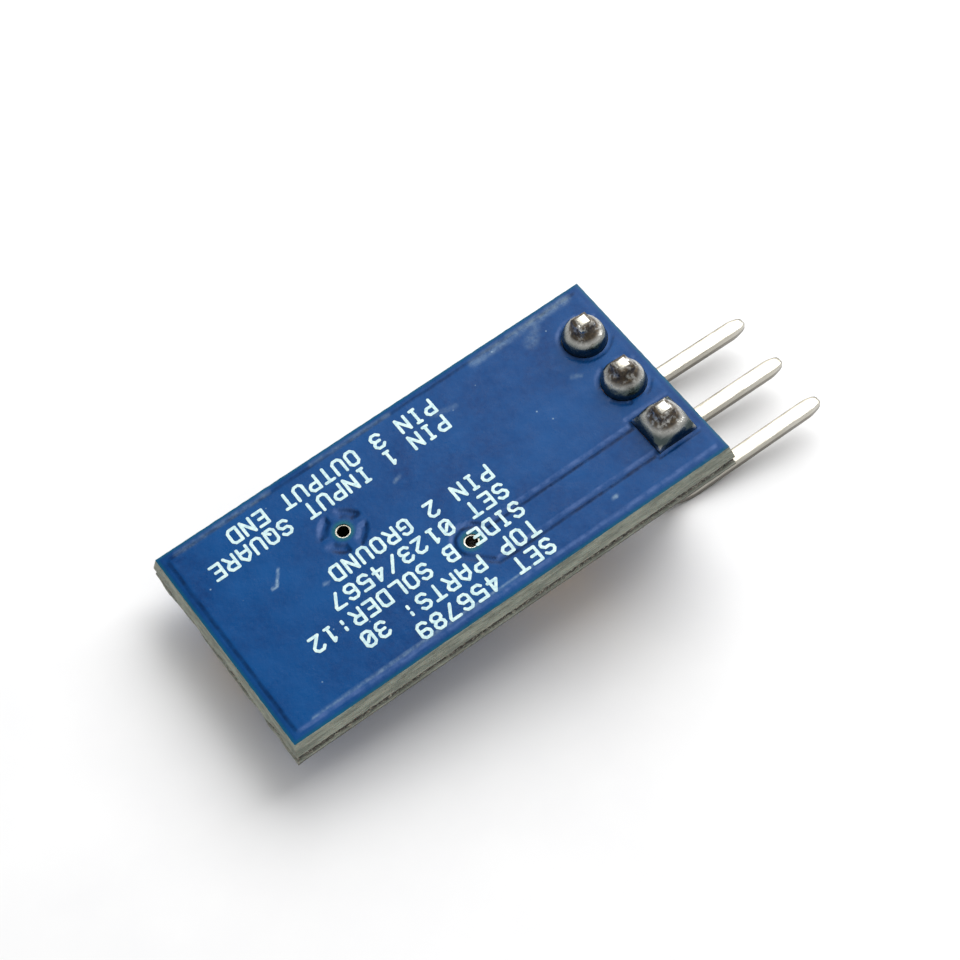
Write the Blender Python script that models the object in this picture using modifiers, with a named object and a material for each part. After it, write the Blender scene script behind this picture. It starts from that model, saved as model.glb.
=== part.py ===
"""Three-pin voltage inverter module: a two-layer circuit board on a bent pin header.

Metres, +Z up. The board lies flat with its solder side up. +X runs towards the free ends of
the pins. The origin is under the middle of the whole part, level with the underside of the
bent pins.

Most places are written in the board's own frame, which the empty "board_frame" carries: its
origin is the middle of the board's solder face. Everything soldered to the hidden face is
written in the frame of the empty "component_side", which is that face turned over, so that
+Z there is also the way off the board.
"""
import math

import bmesh
import bpy
from mathutils import Matrix, Vector

MM = 0.001

# Board
BOARD_LENGTH = 20.0 * MM
BOARD_WIDTH = 9.7 * MM
BOARD_THICKNESS = 1.6 * MM
WEB_OVERHANG = 0.15 * MM
WEB_THICKNESS = 0.5 * MM
MASK_THICKNESS = 0.04 * MM
COPPER_THICKNESS = 0.05 * MM
LAYER_GAP = 0.01 * MM
POUR_INSET = 0.45 * MM

# Header holes and pads
PITCH = 2.54 * MM
HEADER_X = 8.66 * MM
PAD_SIZE = 1.75 * MM
HOLE_RADIUS = 0.5 * MM
PLATING = 0.05 * MM

# Vias, in the board's frame
VIA_GROUND = (-3.66 * MM, 1.37 * MM)
VIA_INPUT = (-0.08 * MM, -2.04 * MM)
VIA_HOLE_RADIUS = 0.25 * MM
VIA_RIM_RADIUS = 0.32 * MM
VIA_PAD_RADIUS = 0.5 * MM

# Header
PIN_SIZE = 0.6 * MM
PIN_TAIL = 1.29 * MM
PIN_TAIL_TIP = 0.2 * MM
PIN_TAIL_SCALE = 0.75
PIN_REACH = 7.75 * MM
PIN_LEG_DEPTH = 6.15 * MM
PIN_BEND_RADIUS = 1.3 * MM
PIN_TIP_LENGTH = 0.7 * MM
PIN_TIP_SCALE = 0.5
PIN_SWING = {"input": 0.0, "ground": -0.6, "output": -1.1}
BLOCK_HEIGHT = 2.2 * MM
BLOCK_CHAMFER = 0.35 * MM
BLOCK_CLEARANCE = 0.02 * MM

# Solder
SOLDER_HEIGHT = 0.95 * MM
SOLDER_BORE = 0.44 * MM
SOLDER_FOOT_GAP = 0.02 * MM
# Height and reach from the pin's middle, from the foot up: round joints, then the square one
SOLDER_ROUND = ((0.06, None), (0.25, 0.75), (0.62, 0.6))
SOLDER_SQUARE = ((0.06, None), (0.25, 0.72), (0.62, 0.58))
SOLDER_TOP = 0.5 * MM

# Integrated circuit, in the component side's frame
IC_X = -4.0 * MM
IC_BODY = (3.9 * MM, 4.9 * MM, 1.45 * MM)
IC_STANDOFF = 0.15 * MM
IC_DRAFT = 0.1 * MM
IC_WALL = 0.25 * MM
IC_DIMPLE_RADIUS = 0.4 * MM
IC_DIMPLE_DEPTH = 0.05 * MM
IC_DIMPLE_INSET = 0.75 * MM
LEAD_PITCH = 1.27 * MM
LEAD_WIDTH = 0.42 * MM
LEAD_THICKNESS = 0.2 * MM
LEAD_INNER_X = 0.9 * MM
LEAD_SPAN = 6.0 * MM
LEAD_BEND_RADIUS = 0.25 * MM
LEAD_BEND_ANGLE = 80.0
FOOT_DROP = 0.02 * MM
DIE = (1.1 * MM, 1.9 * MM, 0.25 * MM)
DIE_PAD = (1.5 * MM, 2.9 * MM)
WIRE_RADIUS = 0.0125 * MM
WIRE_START_X = 0.4 * MM
WIRE_START_SPREAD = 0.42
WIRE_LANDING = 0.12 * MM
WIRE_RISE = 0.1 * MM

# Capacitors, in the component side's frame: centre x, centre y, turn, length, width, height
CAPACITORS = {
    "input_capacitor": (3.3 * MM, 2.6 * MM, 0.0, 3.5 * MM, 2.8 * MM, 1.9 * MM),
    "output_capacitor": (3.3 * MM, -2.6 * MM, 180.0, 3.5 * MM, 2.8 * MM, 1.9 * MM),
    "pump_capacitor": (-8.35 * MM, -0.635 * MM, 90.0, 3.2 * MM, 1.6 * MM, 1.6 * MM),
}
CAP_WALL = 0.25 * MM
CAP_LEAD = 0.13 * MM
CAP_LEAD_BEND = 0.15 * MM
CAP_FOOT_LENGTH = 0.6 * MM
CAP_DRAFT = 0.06 * MM
CAP_LEAD_SHARE = 0.75
SLUG_CLEARANCE = 0.6 * MM
SLUG_WIRE_LENGTH = 0.25 * MM
SLUG_WIRE_HALF = 0.12 * MM
FIT_GAP = 0.02 * MM

ROUND_STEPS = 24
BEND_STEPS = 6

# Name: colour, roughness, metallic
FINISHES = {
    "fibreglass": ((0.45, 0.46, 0.36, 1.0), 0.7, 0.0),
    "blue_mask": ((0.02, 0.09, 0.36, 1.0), 0.3, 0.0),
    "copper": ((0.72, 0.38, 0.22, 1.0), 0.35, 1.0),
    "tinned_hole": ((0.75, 0.75, 0.72, 1.0), 0.3, 1.0),
    "solder": ((0.62, 0.62, 0.6, 1.0), 0.28, 1.0),
    "tinned_pin": ((0.85, 0.84, 0.8, 1.0), 0.22, 1.0),
    "header_plastic": ((0.02, 0.02, 0.022, 1.0), 0.5, 0.0),
    "chip_mould": ((0.03, 0.03, 0.032, 1.0), 0.6, 0.0),
    "lead_frame": ((0.7, 0.69, 0.66, 1.0), 0.35, 1.0),
    "silicon": ((0.2, 0.2, 0.24, 1.0), 0.15, 1.0),
    "gold_wire": ((0.9, 0.65, 0.2, 1.0), 0.25, 1.0),
    "capacitor_case": ((0.75, 0.45, 0.06, 1.0), 0.5, 0.0),
    "tantalum": ((0.12, 0.12, 0.12, 1.0), 0.8, 0.2),
}


# ---------------------------------------------------------------- scene and materials

def clear_scene():
    """Removes every object that the file starts with."""
    for obj in list(bpy.data.objects):
        bpy.data.objects.remove(obj, do_unlink=True)


def new_collection(name):
    """Adds a collection to the scene."""
    collection = bpy.data.collections.new(name)
    bpy.context.scene.collection.children.link(collection)
    return collection


def make_materials():
    """One Principled material for each finish."""
    materials = {}
    for name, (colour, roughness, metallic) in FINISHES.items():
        finish = bpy.data.materials.new(name)
        finish.use_nodes = True
        shader = finish.node_tree.nodes["Principled BSDF"]
        shader.inputs["Base Color"].default_value = colour
        shader.inputs["Roughness"].default_value = roughness
        shader.inputs["Metallic"].default_value = metallic
        finish.diffuse_color = colour
        materials[name] = finish
    return materials


clear_scene()
PARTS = new_collection("voltage_inverter_module")
CUTTERS = new_collection("cutters")
MATERIALS = make_materials()


def new_frame(name, parent, matrix):
    """An empty that carries a set of pieces."""
    empty = bpy.data.objects.new(name, None)
    PARTS.objects.link(empty)
    empty.parent = parent
    empty.matrix_basis = matrix
    return empty


PART_LENGTH = BOARD_LENGTH / 2 + WEB_OVERHANG + HEADER_X + PIN_REACH
MIDDLE_X = HEADER_X + PIN_REACH - PART_LENGTH / 2
BOARD_FRAME = new_frame("board_frame", None, Matrix.Translation(
    (-MIDDLE_X, 0.0, PIN_LEG_DEPTH + PIN_SIZE / 2)))
COMPONENT_SIDE = new_frame("component_side", BOARD_FRAME, Matrix.Translation(
    (0.0, 0.0, -BOARD_THICKNESS)) @ Matrix.Rotation(math.pi, 4, "X"))


# ---------------------------------------------------------------- shape helpers

def place(obj, finish, parent, location=(0.0, 0.0, 0.0), turn=0.0):
    """Gives a piece its material, collection, parent and place."""
    if finish:
        obj.data.materials.append(MATERIALS[finish])
        PARTS.objects.link(obj)
    else:
        CUTTERS.objects.link(obj)
        obj.hide_render = True
        obj.display_type = "WIRE"
    obj.parent = parent
    obj.location = location
    obj.rotation_euler = (0.0, 0.0, math.radians(turn))
    return obj


def from_bmesh(name, bm, smooth_angle=None):
    """Turns a bmesh into a new object, smooth where its faces meet at small angles."""
    bmesh.ops.recalc_face_normals(bm, faces=bm.faces)
    mesh = bpy.data.meshes.new(name)
    bm.to_mesh(mesh)
    bm.free()
    if smooth_angle is not None:
        mesh.shade_smooth()
        mesh.set_sharp_from_angle(angle=math.radians(smooth_angle))
    return bpy.data.objects.new(name, mesh)


def extrude(bm, face, keep=False):
    """Extrudes one face and returns the new one; the old face stays only as a start cap."""
    made = bmesh.ops.extrude_face_region(bm, geom=[face])["geom"]
    if not keep:
        bmesh.ops.delete(bm, geom=[face], context="FACES_ONLY")
    return [g for g in made if isinstance(g, bmesh.types.BMFace)][0]


def block(name, size, draft=0.0):
    """A box; draft pulls in its lowest and highest faces on each side."""
    bm = bmesh.new()
    bmesh.ops.create_cube(bm, size=1.0)
    bmesh.ops.scale(bm, vec=size, verts=bm.verts)
    if draft:
        bmesh.ops.bisect_plane(bm, geom=bm.verts[:] + bm.edges[:] + bm.faces[:],
                               plane_co=(0.0, 0.0, 0.0), plane_no=(0.0, 0.0, 1.0))
        ends = [v for v in bm.verts if abs(v.co.z) > size[2] / 4]
        shrink = (1.0 - 2.0 * draft / size[0], 1.0 - 2.0 * draft / size[1], 1.0)
        bmesh.ops.scale(bm, vec=shrink, verts=ends)
    return from_bmesh(name, bm)


def cut(target, cutter):
    """Subtracts a cutter from a piece."""
    modifier = target.modifiers.new(cutter.name, "BOOLEAN")
    modifier.operation = "DIFFERENCE"
    modifier.solver = "EXACT"
    modifier.object = cutter


def arc(centre, radius, start, end, steps):
    """Points along an arc, from one angle to the other in degrees, both ends included."""
    angles = [math.radians(start + (end - start) * i / steps) for i in range(steps + 1)]
    return [(centre[0] + radius * math.cos(a), centre[1] + radius * math.sin(a)) for a in angles]


def circle(centre, radius, steps=ROUND_STEPS):
    """Points around a circle."""
    return arc(centre, radius, 0.0, 360.0, steps)[:-1]


def rectangle(centre, length, width):
    """Corners of a rectangle."""
    x, y = centre
    return [(x - length / 2, y - width / 2), (x + length / 2, y - width / 2),
            (x + length / 2, y + width / 2), (x - length / 2, y + width / 2)]


def in_mm(points):
    """Scales points written in millimetres."""
    return [(x * MM, y * MM) for x, y in points]


def plate(name, outlines, low, high, finish, parent, location=(0.0, 0.0, 0.0)):
    """A flat piece between two heights. The first outline is its edge, the rest are holes."""
    curve = bpy.data.curves.new(name, "CURVE")
    curve.dimensions = "2D"
    curve.fill_mode = "BOTH"
    curve.extrude = (high - low) / 2
    for points in outlines:
        spline = curve.splines.new("POLY")
        spline.points.add(len(points) - 1)
        for point, (x, y) in zip(spline.points, points):
            point.co = (x, y, 0.0, 1.0)
        spline.use_cyclic_u = True
    obj = bpy.data.objects.new(name, curve)
    x, y, z = location
    return place(obj, finish, parent, (x, y, z + (low + high) / 2))


def turned(name, profile, finish, parent, location):
    """A ring turned about Z from a closed profile that runs down its outer side."""
    bm = bmesh.new()
    verts = [bm.verts.new((x, 0.0, z)) for x, z in profile]
    for start, end in zip(verts, verts[1:] + verts[:1]):
        bm.edges.new((start, end))
    mesh = bpy.data.meshes.new(name)
    bm.to_mesh(mesh)
    bm.free()
    obj = bpy.data.objects.new(name, mesh)
    screw = obj.modifiers.new("turn", "SCREW")
    screw.steps = ROUND_STEPS
    screw.render_steps = ROUND_STEPS
    screw.use_merge_vertices = True
    screw.merge_threshold = 1e-7
    screw.use_smooth_shade = True
    return place(obj, finish, parent, location)


def bent_bar(name, width, thickness, start, direction, moves, start_scale=1.0):
    """Sweeps a rectangle through straight and curved moves in the XZ plane.

    A move is ("go", length, end scale) or ("turn", degrees, radius). A positive turn is the
    right-handed one about +Y.
    """
    bm = bmesh.new()
    position, travel = Vector(start), Vector(direction).normalized()
    bmesh.ops.create_grid(bm, x_segments=1, y_segments=1, size=0.5)
    side = Vector((0.0, 1.0, 0.0)).cross(travel)
    axes = Matrix((side * thickness, Vector((0.0, width, 0.0)), travel)).transposed()
    bmesh.ops.transform(bm, verts=bm.verts, matrix=Matrix.Translation(position) @ axes.to_4x4())
    face = bm.faces[:][0]

    def resize(factor):
        move = Matrix.Translation(position)
        scaling = Matrix.Scale(factor, 4)
        bmesh.ops.transform(bm, verts=face.verts, matrix=move @ scaling @ move.inverted())

    resize(start_scale)
    scale = start_scale
    for index, (kind, amount, detail) in enumerate(moves):
        if kind == "go":
            face = extrude(bm, face, keep=index == 0)
            bmesh.ops.translate(bm, vec=travel * amount, verts=face.verts)
            position = position + travel * amount
            resize(detail / scale)
            scale = detail
            continue
        pivot = position + side * math.copysign(detail, amount)
        step = Matrix.Rotation(math.radians(amount) / BEND_STEPS, 3, "Y")
        for _ in range(BEND_STEPS):
            face = extrude(bm, face)
            bmesh.ops.rotate(bm, cent=pivot, matrix=step, verts=face.verts)
            position = pivot + step @ (position - pivot)
            travel = step @ travel
        side = Vector((0.0, 1.0, 0.0)).cross(travel)
    return from_bmesh(name, bm, smooth_angle=30.0)


# ---------------------------------------------------------------- board

MASK_LOW = -MASK_THICKNESS
COPPER_HIGH = MASK_LOW - LAYER_GAP
COPPER_LOW = COPPER_HIGH - COPPER_THICKNESS
CORE_HIGH = COPPER_LOW - LAYER_GAP
CORE_LOW = -BOARD_THICKNESS - CORE_HIGH

PAD_MARGIN = 0.05 * MM
HEADER_PINS = {"output": PITCH, "ground": 0.0, "input": -PITCH}
VIAS = {"ground": VIA_GROUND, "input": VIA_INPUT}


def flipped(point):
    """A place on the solder side, in the component side's frame."""
    return (point[0], -point[1])


def make_core():
    """The fibreglass board: scored along every edge, so a rough web stands out at mid height."""
    length, width = BOARD_LENGTH + 2 * WEB_OVERHANG, BOARD_WIDTH + 2 * WEB_OVERHANG
    score = (CORE_HIGH - CORE_LOW - WEB_THICKNESS) / 2
    bm = bmesh.new()
    bmesh.ops.create_cube(bm, size=1.0)
    bmesh.ops.scale(bm, vec=(length, width, WEB_THICKNESS), verts=bm.verts)
    shrink = (BOARD_LENGTH / length, BOARD_WIDTH / width, 1.0)
    for way in (1.0, -1.0):
        face = extrude(bm, [f for f in bm.faces if f.normal.z * way > 0.9][0])
        bmesh.ops.translate(bm, vec=(0.0, 0.0, way * score), verts=face.verts)
        bmesh.ops.scale(bm, vec=shrink, verts=face.verts)
        bm.normal_update()
    core = place(from_bmesh("pcb_core", bm), "fibreglass", BOARD_FRAME,
                 (0.0, 0.0, (CORE_HIGH + CORE_LOW) / 2))
    holes = [(HEADER_X, y, HOLE_RADIUS + PLATING + LAYER_GAP) for y in HEADER_PINS.values()]
    holes += [(x, y, VIA_HOLE_RADIUS + PLATING + LAYER_GAP) for x, y in VIAS.values()]
    drills = bmesh.new()
    for x, y, radius in holes:
        bmesh.ops.create_cone(drills, cap_ends=True, segments=ROUND_STEPS, radius1=radius,
                              radius2=radius, depth=2 * BOARD_THICKNESS,
                              matrix=Matrix.Translation((x, y, 0.0)))
    cutter = place(from_bmesh("drills", drills), None, BOARD_FRAME,
                   (0.0, 0.0, -BOARD_THICKNESS / 2))
    cut(core, cutter)


def make_solder_side_mask():
    """The blue skin on the solder side, open over the three pads and the two via holes."""
    window = PAD_SIZE + 2 * PAD_MARGIN
    outlines = [rectangle((0.0, 0.0), BOARD_LENGTH, BOARD_WIDTH),
                circle((HEADER_X, HEADER_PINS["output"]), window / 2),
                circle((HEADER_X, HEADER_PINS["ground"]), window / 2),
                rectangle((HEADER_X, HEADER_PINS["input"]), window, window)]
    outlines += [circle(centre, VIA_RIM_RADIUS - LAYER_GAP) for centre in VIAS.values()]
    plate("solder_side_mask", outlines, MASK_LOW, 0.0, "blue_mask", BOARD_FRAME)


TRACK_TOP = -2.05 * MM
TRACK_BOTTOM = -3.15 * MM
TRACK_CLEARANCE = 0.4 * MM
PAD_CLEARANCE = 0.3 * MM
RELIEF_RADIUS = 1.05 * MM
RELIEF_SPOKE = 0.24 * MM
PAD_SPOKE = 0.5 * MM


def track_edge(grow, end):
    """The edge of the input track from its upper right end, round its via, to its lower right."""
    radius = VIA_PAD_RADIUS + grow
    top, bottom = TRACK_TOP + grow, TRACK_BOTTOM - grow
    x, y = VIA_INPUT
    meet = math.degrees(math.asin((top - y) / radius))
    corner = x + (y - bottom) - radius * math.sqrt(2.0)
    return ([(end, top)] + arc(VIA_INPUT, radius, meet, 225.0, ROUND_STEPS // 2)
            + [(corner, bottom), (end, bottom)])


def make_input_track():
    """The wide track from the square pad to the input via."""
    end = HEADER_X - PAD_SIZE / 2 - LAYER_GAP
    plate("input_track", [track_edge(0.0, end), circle(VIA_INPUT, VIA_RIM_RADIUS + LAYER_GAP)],
          COPPER_LOW, COPPER_HIGH, "copper", BOARD_FRAME)


def half_angle(width, radius):
    """Half the angle in degrees that a spoke of some width takes up at a radius."""
    return math.degrees(math.asin(width / 2 / radius))


def spoked_inlet(centre, inner, outer, spoke, reach):
    """A round clearance open to the right, crossed by three spokes, from bottom to top."""
    near, far = half_angle(spoke, inner), half_angle(spoke, outer)
    points, start = [], 360.0 - reach
    for middle in (270.0, 180.0, 90.0):
        points += arc(centre, outer, start, middle + far, 6)
        points += arc(centre, inner, middle + near, middle - near, 2)
        start = middle - far
    return points + arc(centre, outer, start, reach, 6)


def relief_slots(centre, inner, outer, spoke):
    """The four curved slots of a thermal relief."""
    near, far = half_angle(spoke, inner), half_angle(spoke, outer)
    return [arc(centre, inner, turn + near, turn + 90.0 - near, 6)
            + arc(centre, outer, turn + 90.0 - far, turn + far, 6)
            for turn in (0.0, 90.0, 180.0, 270.0)]


def make_ground_plane():
    """The copper pour over the solder side, kept clear of the input track and output pad."""
    x, y = BOARD_LENGTH / 2 - POUR_INSET, BOARD_WIDTH / 2 - POUR_INSET
    clear = PAD_SIZE / 2 + PAD_CLEARANCE
    reach = math.degrees(math.acos((x - HEADER_X) / clear))
    left, input_y = HEADER_X - clear, HEADER_PINS["input"]
    edge = [(-x, y), (-x, -y), (x, -y), (x, input_y - clear), (left, input_y - clear)]
    edge += reversed(track_edge(TRACK_CLEARANCE, left))
    edge += [(left, input_y + clear), (x, input_y + clear)]
    edge += spoked_inlet((HEADER_X, HEADER_PINS["ground"]), PAD_SIZE / 2 + LAYER_GAP, clear,
                         PAD_SPOKE, reach)
    edge += arc((HEADER_X, HEADER_PINS["output"]), clear, 360.0 - reach, reach, ROUND_STEPS)
    edge += [(x, y)]
    outlines = [edge, circle(VIA_GROUND, VIA_RIM_RADIUS + LAYER_GAP)]
    outlines += relief_slots(VIA_GROUND, VIA_PAD_RADIUS, RELIEF_RADIUS, RELIEF_SPOKE)
    plate("ground_plane", outlines, COPPER_LOW, COPPER_HIGH, "copper", BOARD_FRAME)


def plated_profile(rim, bore):
    """The closed profile of a plated hole with a rim in each copper layer."""
    low_rim, low_web = -BOARD_THICKNESS - COPPER_HIGH, -BOARD_THICKNESS - COPPER_LOW
    barrel = bore + PLATING
    return [(bore, COPPER_HIGH), (rim, COPPER_HIGH), (rim, COPPER_LOW), (barrel, COPPER_LOW),
            (barrel, low_web), (rim, low_web), (rim, low_rim), (bore, low_rim)]


def make_square_plated_hole(name, x, y):
    """A plated hole with square pads, cut from a block."""
    height = BOARD_THICKNESS + 2 * COPPER_HIGH
    centre = (x, y, -BOARD_THICKNESS / 2)
    body = place(block(name, (PAD_SIZE, PAD_SIZE, height)), "tinned_hole", BOARD_FRAME, centre)
    web = CORE_HIGH - CORE_LOW + 2 * LAYER_GAP
    barrel = HOLE_RADIUS + PLATING
    ring = [(barrel, web / 2), (2 * PAD_SIZE, web / 2), (2 * PAD_SIZE, -web / 2),
            (barrel, -web / 2)]
    cut(body, turned(name + "_web", ring, None, BOARD_FRAME, centre))
    bm = bmesh.new()
    bmesh.ops.create_cone(bm, cap_ends=True, segments=ROUND_STEPS, radius1=HOLE_RADIUS,
                          radius2=HOLE_RADIUS, depth=2 * height)
    cut(body, place(from_bmesh(name + "_bore", bm), None, BOARD_FRAME, centre))


def make_plated_holes():
    """Three header holes, the first with a square pad, and two vias."""
    rims = plated_profile(PAD_SIZE / 2, HOLE_RADIUS)
    for role, y in HEADER_PINS.items():
        name = "plated_hole_" + role
        if role == "input":
            make_square_plated_hole(name, HEADER_X, y)
        else:
            turned(name, rims, "tinned_hole", BOARD_FRAME, (HEADER_X, y, 0.0))
    rims = plated_profile(VIA_RIM_RADIUS, VIA_HOLE_RADIUS)
    for role, (x, y) in VIAS.items():
        turned("via_" + role, rims, "tinned_hole", BOARD_FRAME, (x, y, 0.0))


# ---------------------------------------------------------------- header and its joints

def make_solder_joints():
    """A cone of solder around each tail, filling the hole below it; square on the square pad."""
    base, foot = COPPER_HIGH + LAYER_GAP, PAD_SIZE / 2 - SOLDER_FOOT_GAP
    sleeve = HOLE_RADIUS - LAYER_GAP
    bottom = -BOARD_THICKNESS - base
    sides = [(foot if reach is None else reach * MM, z * MM) for z, reach in SOLDER_ROUND]
    cone = [(SOLDER_BORE, SOLDER_HEIGHT), (SOLDER_TOP, SOLDER_HEIGHT)] + sides[::-1]
    cone += [(foot, base), (sleeve, base), (sleeve, bottom), (SOLDER_BORE, bottom)]
    for role in ("output", "ground"):
        turned("solder_joint_" + role, cone, "solder", BOARD_FRAME,
               (HEADER_X, HEADER_PINS[role], 0.0))
    y = HEADER_PINS["input"]
    bm = bmesh.new()
    bmesh.ops.create_grid(bm, x_segments=1, y_segments=1, size=foot)
    bmesh.ops.translate(bm, vec=(0.0, 0.0, base), verts=bm.verts)
    face = bm.faces[:][0]
    size = foot
    rings = [(foot if reach is None else reach * MM, z * MM) for z, reach in SOLDER_SQUARE]
    rings += [(SOLDER_TOP, SOLDER_HEIGHT)]
    for half, z in rings:
        face = extrude(bm, face, keep=z == rings[0][1])
        rise = z - face.calc_center_median().z
        bmesh.ops.translate(bm, vec=(0.0, 0.0, rise), verts=face.verts)
        bmesh.ops.scale(bm, vec=(half / size, half / size, 1.0), verts=face.verts)
        size = half
    joint = place(from_bmesh("solder_joint_input", bm), "solder", BOARD_FRAME,
                  (HEADER_X, y, 0.0))
    bm = bmesh.new()
    bmesh.ops.create_cone(bm, cap_ends=True, segments=ROUND_STEPS, radius1=SOLDER_BORE,
                          radius2=SOLDER_BORE, depth=4 * SOLDER_HEIGHT)
    cut(joint, place(from_bmesh("solder_bore", bm), None, BOARD_FRAME, (HEADER_X, y, 0.0)))


def make_header_pins():
    """Three square pins: short soldered tails, a right-angle bend and long straight legs."""
    down = PIN_LEG_DEPTH - PIN_BEND_RADIUS
    leg = PIN_REACH - PIN_BEND_RADIUS - PIN_TIP_LENGTH
    moves = [("go", PIN_TAIL_TIP, 1.0), ("go", PIN_TAIL - PIN_TAIL_TIP + down, 1.0),
             ("turn", -90.0, PIN_BEND_RADIUS), ("go", leg, 1.0),
             ("go", PIN_TIP_LENGTH, PIN_TIP_SCALE)]
    for role, y in HEADER_PINS.items():
        pin = bent_bar("header_pin_" + role, PIN_SIZE, PIN_SIZE, (0.0, 0.0, PIN_TAIL),
                       (0.0, 0.0, -1.0), moves, start_scale=PIN_TAIL_SCALE)
        place(pin, "tinned_pin", BOARD_FRAME, (HEADER_X, y, 0.0), PIN_SWING[role])


def make_header_block():
    """The moulded strip that spaces the pins, chamfered between its three positions."""
    half, c = PITCH / 2, BLOCK_CHAMFER
    side = []
    for y in sorted(HEADER_PINS.values()):
        side += [(half - c, y - half), (half, y - half + c), (half, y + half - c)]
    side += [(half - c, 1.5 * PITCH)]
    outline = side + [(-x, y) for x, y in reversed(side)]
    hole = PIN_SIZE + 2 * BLOCK_CLEARANCE
    outlines = [outline] + [rectangle((0.0, y), hole, hole) for y in HEADER_PINS.values()]
    high = -BOARD_THICKNESS - LAYER_GAP
    plate("header_block", outlines, high - BLOCK_HEIGHT, high, "header_plastic", BOARD_FRAME,
          (HEADER_X, 0.0, 0.0))


# ---------------------------------------------------------------- copper on the hidden side

# Outlines in millimetres in the component side's frame, each with the via it joins, if any.
NETS = {
    "net_input_pin": (((4.1, 1.5), (5.5, 1.5), (5.5, 1.9), (7.77, 1.9), (7.77, 3.2),
                       (5.5, 3.2), (5.5, 3.7), (4.1, 3.7)), None),
    "net_input_chip": (((-1.95, 1.605), (0.45, 1.605), (0.45, 2.475), (-0.9, 2.475),
                        (-0.9, 4.05), (-5.75, 4.05), (-5.75, 3.35), (-1.5, 3.35),
                        (-1.5, 2.205), (-1.95, 2.205)), VIA_INPUT),
    "net_frequency": (((-7.25, 1.605), (-6.05, 1.605), (-6.05, 2.205), (-6.3, 2.205),
                       (-6.3, 3.35), (-6.0, 3.35), (-6.0, 4.05), (-6.75, 4.05),
                       (-6.75, 2.205), (-7.25, 2.205)), None),
    "net_pump_plus": (((-9.0, 0.15), (-7.7, 0.15), (-7.7, 0.335), (-6.05, 0.335),
                       (-6.05, 0.935), (-7.7, 0.935), (-7.7, 1.5), (-9.0, 1.5)), None),
    "net_pump_minus": (((-9.0, -2.77), (-7.7, -2.77), (-7.7, -2.205), (-6.05, -2.205),
                        (-6.05, -1.605), (-7.7, -1.605), (-7.7, -1.42), (-9.0, -1.42)), None),
    "net_ground_chip": (((-7.25, -0.935), (-4.4, -0.935), (-4.15, -1.8), (-3.2, -1.8),
                         (-3.2, -0.9), (-3.5, -0.335), (-7.25, -0.335)), VIA_GROUND),
    "net_ground_pin": (((1.1, -3.7), (2.5, -3.7), (2.5, -1.1), (7.77, -1.1), (7.77, 1.1),
                        (2.5, 1.1), (2.5, 3.7), (1.1, 3.7), (1.1, -0.2), (0.5, -0.2),
                        (0.5, -1.0), (1.1, -1.0)), None),
    "net_low_voltage": (((-1.95, -0.935), (-0.3, -0.935), (-0.3, -1.0), (0.25, -1.0),
                         (0.25, -0.2), (-0.3, -0.2), (-0.3, -0.335), (-1.95, -0.335)), None),
    "net_oscillator": (((-1.95, 0.335), (-0.75, 0.335), (-0.75, 0.935), (-1.95, 0.935)), None),
    "net_output": (((-1.95, -2.205), (-1.6, -2.205), (-1.6, -4.3), (5.5, -4.3), (5.5, -3.2),
                    (7.77, -3.2), (7.77, -1.9), (5.5, -1.9), (5.5, -1.5), (4.1, -1.5),
                    (4.1, -3.9), (-0.9, -3.9), (-0.9, -2.205), (-0.75, -2.205),
                    (-0.75, -1.605), (-1.95, -1.605)), None),
}
LEAD_PAD = (1.2 * MM, 0.6 * MM)
LEAD_PAD_X = 2.65 * MM
JUMPER_PADS = ((-6.375, 3.7), (-5.375, 3.7), (-0.025, -0.6), (0.8, -0.6))
JUMPER_PAD = (0.55 * MM, 0.7 * MM)
CAP_PAD_MARGIN = 0.25 * MM


def make_component_side_nets():
    """The copper islands that join the parts of the hidden side."""
    for name, (outline, via) in NETS.items():
        outlines = [in_mm(outline)]
        if via:
            outlines.append(circle(flipped(via), VIA_RIM_RADIUS + LAYER_GAP))
        plate(name, outlines, COPPER_LOW, COPPER_HIGH, "copper", COMPONENT_SIDE)


def capacitor_pads():
    """The mask windows of the capacitors, as centre, length along X and width along Y."""
    pads = []
    for x, y, turn, length, width, _ in CAPACITORS.values():
        reach = length / 2 - CAP_FOOT_LENGTH / 2
        along, across = CAP_FOOT_LENGTH + CAP_PAD_MARGIN, width - 4 * CAP_PAD_MARGIN
        for way in (1.0, -1.0):
            angle = math.radians(turn)
            centre = (x + way * reach * math.cos(angle), y + way * reach * math.sin(angle))
            upright = abs(math.sin(angle)) > 0.5
            pads.append((centre, *((across, along) if upright else (along, across))))
    return pads


def lead_rows():
    """Number, row side and place along the row of each lead, counted round the chip."""
    rows = [(i + 1, -1, (1.5 - i) * LEAD_PITCH) for i in range(4)]
    return rows + [(i + 5, 1, (i - 1.5) * LEAD_PITCH) for i in range(4)]


def make_component_side_mask():
    """The blue skin on the hidden side, open over every soldering pad and via hole."""
    window = PAD_SIZE + 2 * PAD_MARGIN
    outlines = [rectangle((0.0, 0.0), BOARD_LENGTH, BOARD_WIDTH),
                circle((HEADER_X, -HEADER_PINS["output"]), window / 2),
                circle((HEADER_X, HEADER_PINS["ground"]), window / 2),
                rectangle((HEADER_X, -HEADER_PINS["input"]), window, window)]
    outlines += [circle(flipped(centre), VIA_RIM_RADIUS - LAYER_GAP)
                 for centre in VIAS.values()]
    outlines += [rectangle((IC_X + side * LEAD_PAD_X, y), *LEAD_PAD)
                 for _, side, y in lead_rows()]
    outlines += [rectangle(*pad) for pad in capacitor_pads()]
    outlines += [rectangle(centre, *JUMPER_PAD) for centre in in_mm(JUMPER_PADS)]
    plate("component_side_mask", outlines, MASK_LOW, 0.0, "blue_mask", COMPONENT_SIDE)


# ---------------------------------------------------------------- the chip

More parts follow.
